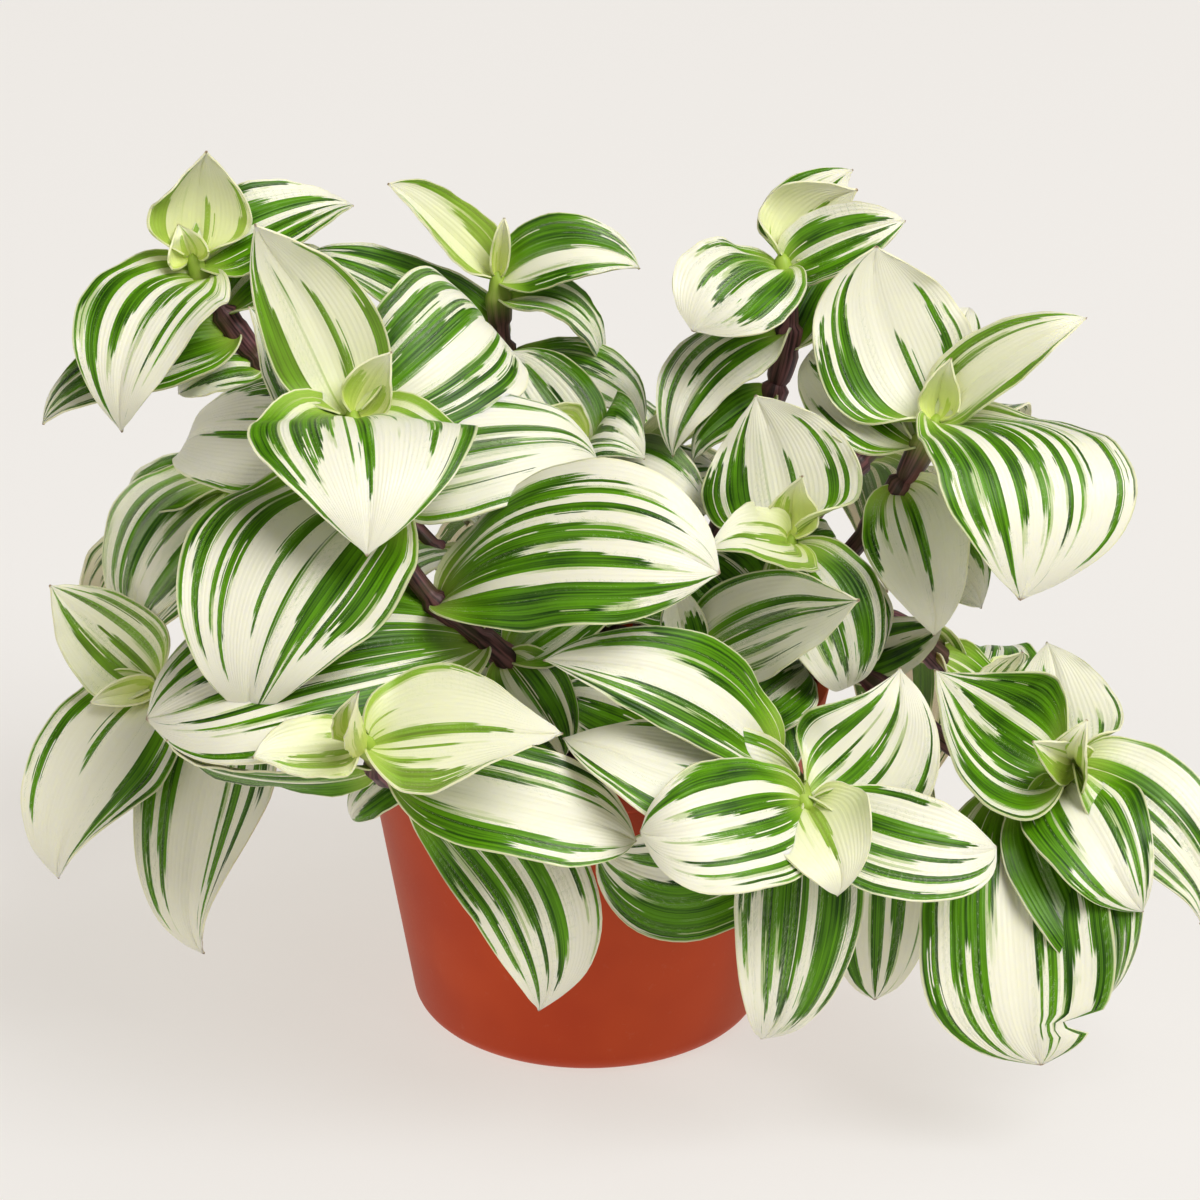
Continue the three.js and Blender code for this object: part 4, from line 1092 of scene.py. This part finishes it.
def perlite_material():
    """White grains with darker pores."""
    shader = Shader("soil_perlite")
    pores = shader.noise(object_place(shader), scale=2.5, detail=3.0)
    color = shader.mix(shader.step(pores, 0.4, 0.65), srgb(222, 216, 204), srgb(178, 168, 152))
    return shader.finish(color, pores * 0.2 + 0.75, shader.bump(pores, 0.6, 0.3))


# ---- pieces ----


def make_shoots():
    """One piece for each shoot: its stem and its leaves, in the poses of the frame."""
    materials = [leaf_material("leaf_top", True), leaf_material("leaf_under", False), stem_material()]
    seed = 0
    for name, (patterns, stem, leaves) in SHOOTS.items():
        node = f"shoot_{name}"
        tree = node_tree(node)
        draft = MeshDraft()
        add_stem(draft, stem, leaves)
        for i, leaf in enumerate(leaves):
            seed += 1
            pose = pose_in_frame(stem, leaf, tree)
            pattern = patterns[i] if i < len(patterns) else OTHER_PATTERNS + seed
            add_leaf(draft, stem, leaf, pose, seed, pattern, (name, i))
        piece = draft.build(f"fine_{name}", materials)
        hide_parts(node)
        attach(piece, "root")


POT_SEGMENTS = 160
CORNER_STEPS = 8
WALL_FROM = 12.0
WALL_RINGS = 8
BAND_GAP = 0.6
DRAIN_HOLES = 6
DRAIN_RADIUS = 3.2
DRAIN_CIRCLE = 27.0
DRILL_HEIGHTS = (-5, 0, 8)
DRILL_SIDES = 28

# The rounded edges of the section: how far out from the wall and up from the rim
# band's lower edge, in from the rim and down from its top, and out from the inner
# wall and down from the top.
BAND_EDGE = [(0.5, 0.0), (RIM_BAND_STEP - 0.2, 0.5), (RIM_BAND_STEP, 1.2)]
OUTER_LIP = [(0.15, 1.2), (0.4, 0.4), (1.0, 0.0)]
INNER_LIP = [(0.4, 0.0), (0.0, 0.6)]


def pot_radius_at(z):
    """The outside radius of the tapered wall at a height."""
    return POT_BASE_RADIUS + (POT_RIM_RADIUS - RIM_BAND_STEP - POT_BASE_RADIUS) * z / POT_HEIGHT


def pot_profile():
    """Radius and height along the section, from the base over the rim to the floor."""
    band = POT_HEIGHT - RIM_BAND_HEIGHT
    inner = POT_RIM_RADIUS - RIM_BAND_STEP - POT_WALL
    profile = [(POT_BASE_RADIUS - POT_CORNER, 0.0)]
    for i in range(1, CORNER_STEPS + 1):
        angle = math.pi / 2 * i / CORNER_STEPS
        z = POT_CORNER * (1 - math.cos(angle))
        profile.append((pot_radius_at(z) - POT_CORNER * (1 - math.sin(angle)), z))
    profile += [(pot_radius_at(z), z) for z in np.linspace(WALL_FROM, band - BAND_GAP, WALL_RINGS)]
    profile += [(pot_radius_at(band) + out, band + up) for out, up in BAND_EDGE]
    profile += [(POT_RIM_RADIUS - into, POT_HEIGHT - down) for into, down in OUTER_LIP]
    profile += [(inner + out, POT_HEIGHT - down) for out, down in INNER_LIP]
    profile += [(pot_radius_at(z) - POT_WALL, z) for z in (band, POT_CORNER)]
    profile.append((POT_BASE_RADIUS - POT_CORNER, POT_FLOOR))
    return profile


def turned_points(profile, segments):
    """The rings of points that a profile sweeps about the pot's axis."""
    angle = np.linspace(0, FULL_TURN, segments, endpoint=False)
    radius, height = np.array(profile).T[..., None]
    return np.stack([radius * np.cos(angle), radius * np.sin(angle), height + 0 * angle], axis=-1)


def drain_drills():
    """Short rods where the drain holes are."""
    drills = MeshDraft()
    for i in range(DRAIN_HOLES):
        middle = polar(DRAIN_CIRCLE, FULL_TURN * i / DRAIN_HOLES)
        centres = [(*middle, z) for z in DRILL_HEIGHTS]
        add_tube(drills, centres, [DRAIN_RADIUS] * len(centres), 0, sides=DRILL_SIDES)
    return drills.build("drain_drills", [])


def make_pot():
    """The turned pot, with drain holes cut through its floor."""
    profile = pot_profile()
    draft = MeshDraft()
    draft.add(turned_points(profile, POT_SEGMENTS), ring_faces(len(profile), POT_SEGMENTS), 0)
    pot = draft.build("fine_pot", [pot_material()], sharp_degrees=35)
    cutter = drain_drills()
    cut = pot.modifiers.new("drains", "BOOLEAN")
    cut.object = cutter
    cut.solver = "EXACT"
    bpy.context.view_layer.update()
    drilled = pot.evaluated_get(bpy.context.evaluated_depsgraph_get())
    mesh = bpy.data.meshes.new_from_object(drilled)
    pot.modifiers.clear()
    pot.data = mesh
    bpy.data.objects.remove(cutter)
    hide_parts("pot")
    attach(pot, "root")


SOIL_RINGS = 34
SOIL_SEGMENTS = 110
SOIL_SEED = 5
SOIL_GAP = 0.5
SOIL_FLOOR_GAPS = (0.3, 0.4)
SOIL_EDGE_DEPTH = 3
SOIL_SINK = 1.6
SOIL_SWELL = 0.9
SOIL_WAVES = (6, 7)
SOIL_GRAIN = 0.35
SOIL_EDGE_DROP = 1.2
CRUMBS = 260
CRUMB_SIZES = (0.7, 2.0)
PERLITE = 46
PERLITE_SIZES = (0.6, 1.4)
LUMP_MARGIN = 3
LUMP_SINK = 1.4
LUMP_RISE = 0.3
LUMP_PULL = (0.75, 1.2)
LUMP_HEIGHT = 0.7
LUMP_SIDES = 6


def add_lump(draft, centre, size, chance, slot):
    """A small crumb: a flattened ball of few faces, pulled out of shape."""
    corners = []
    for latitude in (-1, -0.5, 0, 0.5, 1):
        count = 1 if abs(latitude) == 1 else LUMP_SIDES
        for k in range(count):
            angle = FULL_TURN * k / LUMP_SIDES + latitude
            pull = size * chance.uniform(*LUMP_PULL)
            flat = pull * math.sqrt(1 - latitude**2)
            corners.append([*polar(flat, angle), LUMP_HEIGHT * pull * latitude])
    first, second, third = (1 + LUMP_SIDES * ring for ring in range(3))
    faces = []
    for k in range(LUMP_SIDES):
        n = (k + 1) % LUMP_SIDES
        faces.append([0, first + n, first + k])
        for ring in (first, second):
            faces.append([ring + k, ring + n, ring + LUMP_SIDES + n, ring + LUMP_SIDES + k])
        faces.append([third + k, third + n, third + LUMP_SIDES])
    draft.add(np.array(corners) + np.array(centre), faces, slot)


def soil_surface(edge, chance):
    """Rings of points from the pot's wall to the middle, gently uneven and grainy."""
    points = []
    for i in range(SOIL_RINGS):
        radius = edge * (1 - i / SOIL_RINGS)
        for j in range(SOIL_SEGMENTS):
            x, y = polar(radius, FULL_TURN * j / SOIL_SEGMENTS)
            swell = SOIL_SWELL * math.sin(x / SOIL_WAVES[0] + 1) * math.cos(y / SOIL_WAVES[1])
            z = SOIL_TOP - SOIL_SINK + swell + chance.uniform(-SOIL_GRAIN, SOIL_GRAIN)
            points.append((x, y, z - (SOIL_EDGE_DROP if i == 0 else 0)))
    return points


def make_soil():
    """A filling of peat, strewn with crumbs and perlite."""
    chance = random.Random(SOIL_SEED)
    edge = pot_radius_at(SOIL_TOP - SOIL_EDGE_DEPTH) - POT_WALL - SOIL_GAP
    low = [
        (POT_BASE_RADIUS - POT_CORNER - SOIL_GAP, POT_FLOOR + SOIL_FLOOR_GAPS[0]),
        (pot_radius_at(POT_CORNER) - POT_WALL - SOIL_GAP, POT_CORNER + SOIL_FLOOR_GAPS[1]),
    ]
    below = turned_points(low, SOIL_SEGMENTS).reshape(-1, 3)
    points = np.vstack([below, soil_surface(edge, chance)])
    draft = MeshDraft()
    draft.add(points, ring_faces(len(low) + SOIL_RINGS, SOIL_SEGMENTS), 0)
    for k in range(CRUMBS + PERLITE):
        is_perlite = k >= CRUMBS
        angle = chance.uniform(0, FULL_TURN)
        radius = (edge - LUMP_MARGIN) * math.sqrt(chance.random())
        size = chance.uniform(*(PERLITE_SIZES if is_perlite else CRUMB_SIZES))
        centre = (*polar(radius, angle), SOIL_TOP - LUMP_SINK + LUMP_RISE * size)
        add_lump(draft, centre, size, chance, int(is_perlite))
    soil = draft.build("fine_soil", [soil_material(), perlite_material()], sharp_degrees=180)
    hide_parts("soil")
    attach(soil, "root")


# ---- studio ----

CAMERA_DISTANCE = 1.130
CAMERA_PITCH = math.radians(24.0)
CAMERA_LENS = 138.0
CAMERA_SENSOR = 36
LOOK_AT = Vector((0.003, 0.0, 0.109))
POT_MIDDLE = Vector((0, 0, 0.1))
FLOOR_REACH = 12
FLOOR_PAPER = (0.225, 0.235, 0.25, 1.0)
FLOOR_GLOW = (0.676, 0.642, 0.6, 1.0)
KEY_ANGLE = math.radians(34)
FILL_ANGLE = math.radians(70)
VIEW_GAMMA = 0.86


def aim(thing, target):
    thing.rotation_euler = (target - thing.location).to_track_quat("-Z", "Y").to_euler()


def make_camera():
    data = bpy.data.cameras.new("photo_camera")
    data.lens = CAMERA_LENS
    data.sensor_width = CAMERA_SENSOR
    data.clip_start = 0.01
    camera = linked(bpy.data.objects.new("photo_camera", data))
    back = Vector((0, -math.cos(CAMERA_PITCH), math.sin(CAMERA_PITCH)))
    camera.location = LOOK_AT + back * CAMERA_DISTANCE
    aim(camera, LOOK_AT)
    bpy.context.scene.camera = camera


def make_floor():
    """A pale light table: part paper, part its own even glow."""
    mesh = bpy.data.meshes.new("floor")
    corners = [(x * FLOOR_REACH, y * FLOOR_REACH, 0) for x, y in ((-1, -1), (1, -1), (1, 1), (-1, 1))]
    mesh.from_pydata(corners, [], [(0, 1, 2, 3)])
    shader = Shader("floor_paper")
    material = shader.finish(
        FLOOR_PAPER, 0.9, Emission_Color=FLOOR_GLOW, Emission_Strength=1.0, Specular_IOR_Level=0.0
    )
    mesh.materials.append(material)
    floor = linked(bpy.data.objects.new("floor", mesh))


def make_lamp(name, kind, place, target, energy):
    data = bpy.data.lights.new(name, kind)
    data.energy = energy
    lamp = linked(bpy.data.objects.new(name, data))
    lamp.location = place
    aim(lamp, target)
    return data


def make_sun(name, source, strength, color, angle):
    """A broad soft light that shines from the source direction toward the plant."""
    data = make_lamp(name, "SUN", source, Vector((0, 0, 0)), strength)
    data.color = color
    data.angle = angle


def make_softbox(name, place, size, radiance):
    """A square panel over the plant, of the given brightness."""
    data = make_lamp(name, "AREA", place, POT_MIDDLE, radiance * math.pi * size**2)
    data.size = size


def make_light():
    """A warm key from the right, a fill from the left, a softbox above and a dim room."""
    make_sun("key", (0.55, -0.5, 0.95), strength=2.0, color=(1.0, 0.985, 0.965), angle=KEY_ANGLE)
    make_sun("fill", (-0.7, -0.85, 0.35), strength=1.0, color=(1.0, 0.97, 0.92), angle=FILL_ANGLE)
    make_softbox("overhead", (0.75, -0.1, 1.4), size=1.5, radiance=1.4)
    world = bpy.data.worlds.new("studio")
    world.use_nodes = True
    background = world.node_tree.nodes["Background"]
    background.inputs["Color"].default_value = srgb(252, 247, 238)
    background.inputs["Strength"].default_value = 0.11
    bpy.context.scene.world = world
    view = bpy.context.scene.view_settings
    view.view_transform = "Standard"
    view.gamma = VIEW_GAMMA


make_shoots()
make_pot()
make_soil()
make_floor()
make_light()
make_camera()
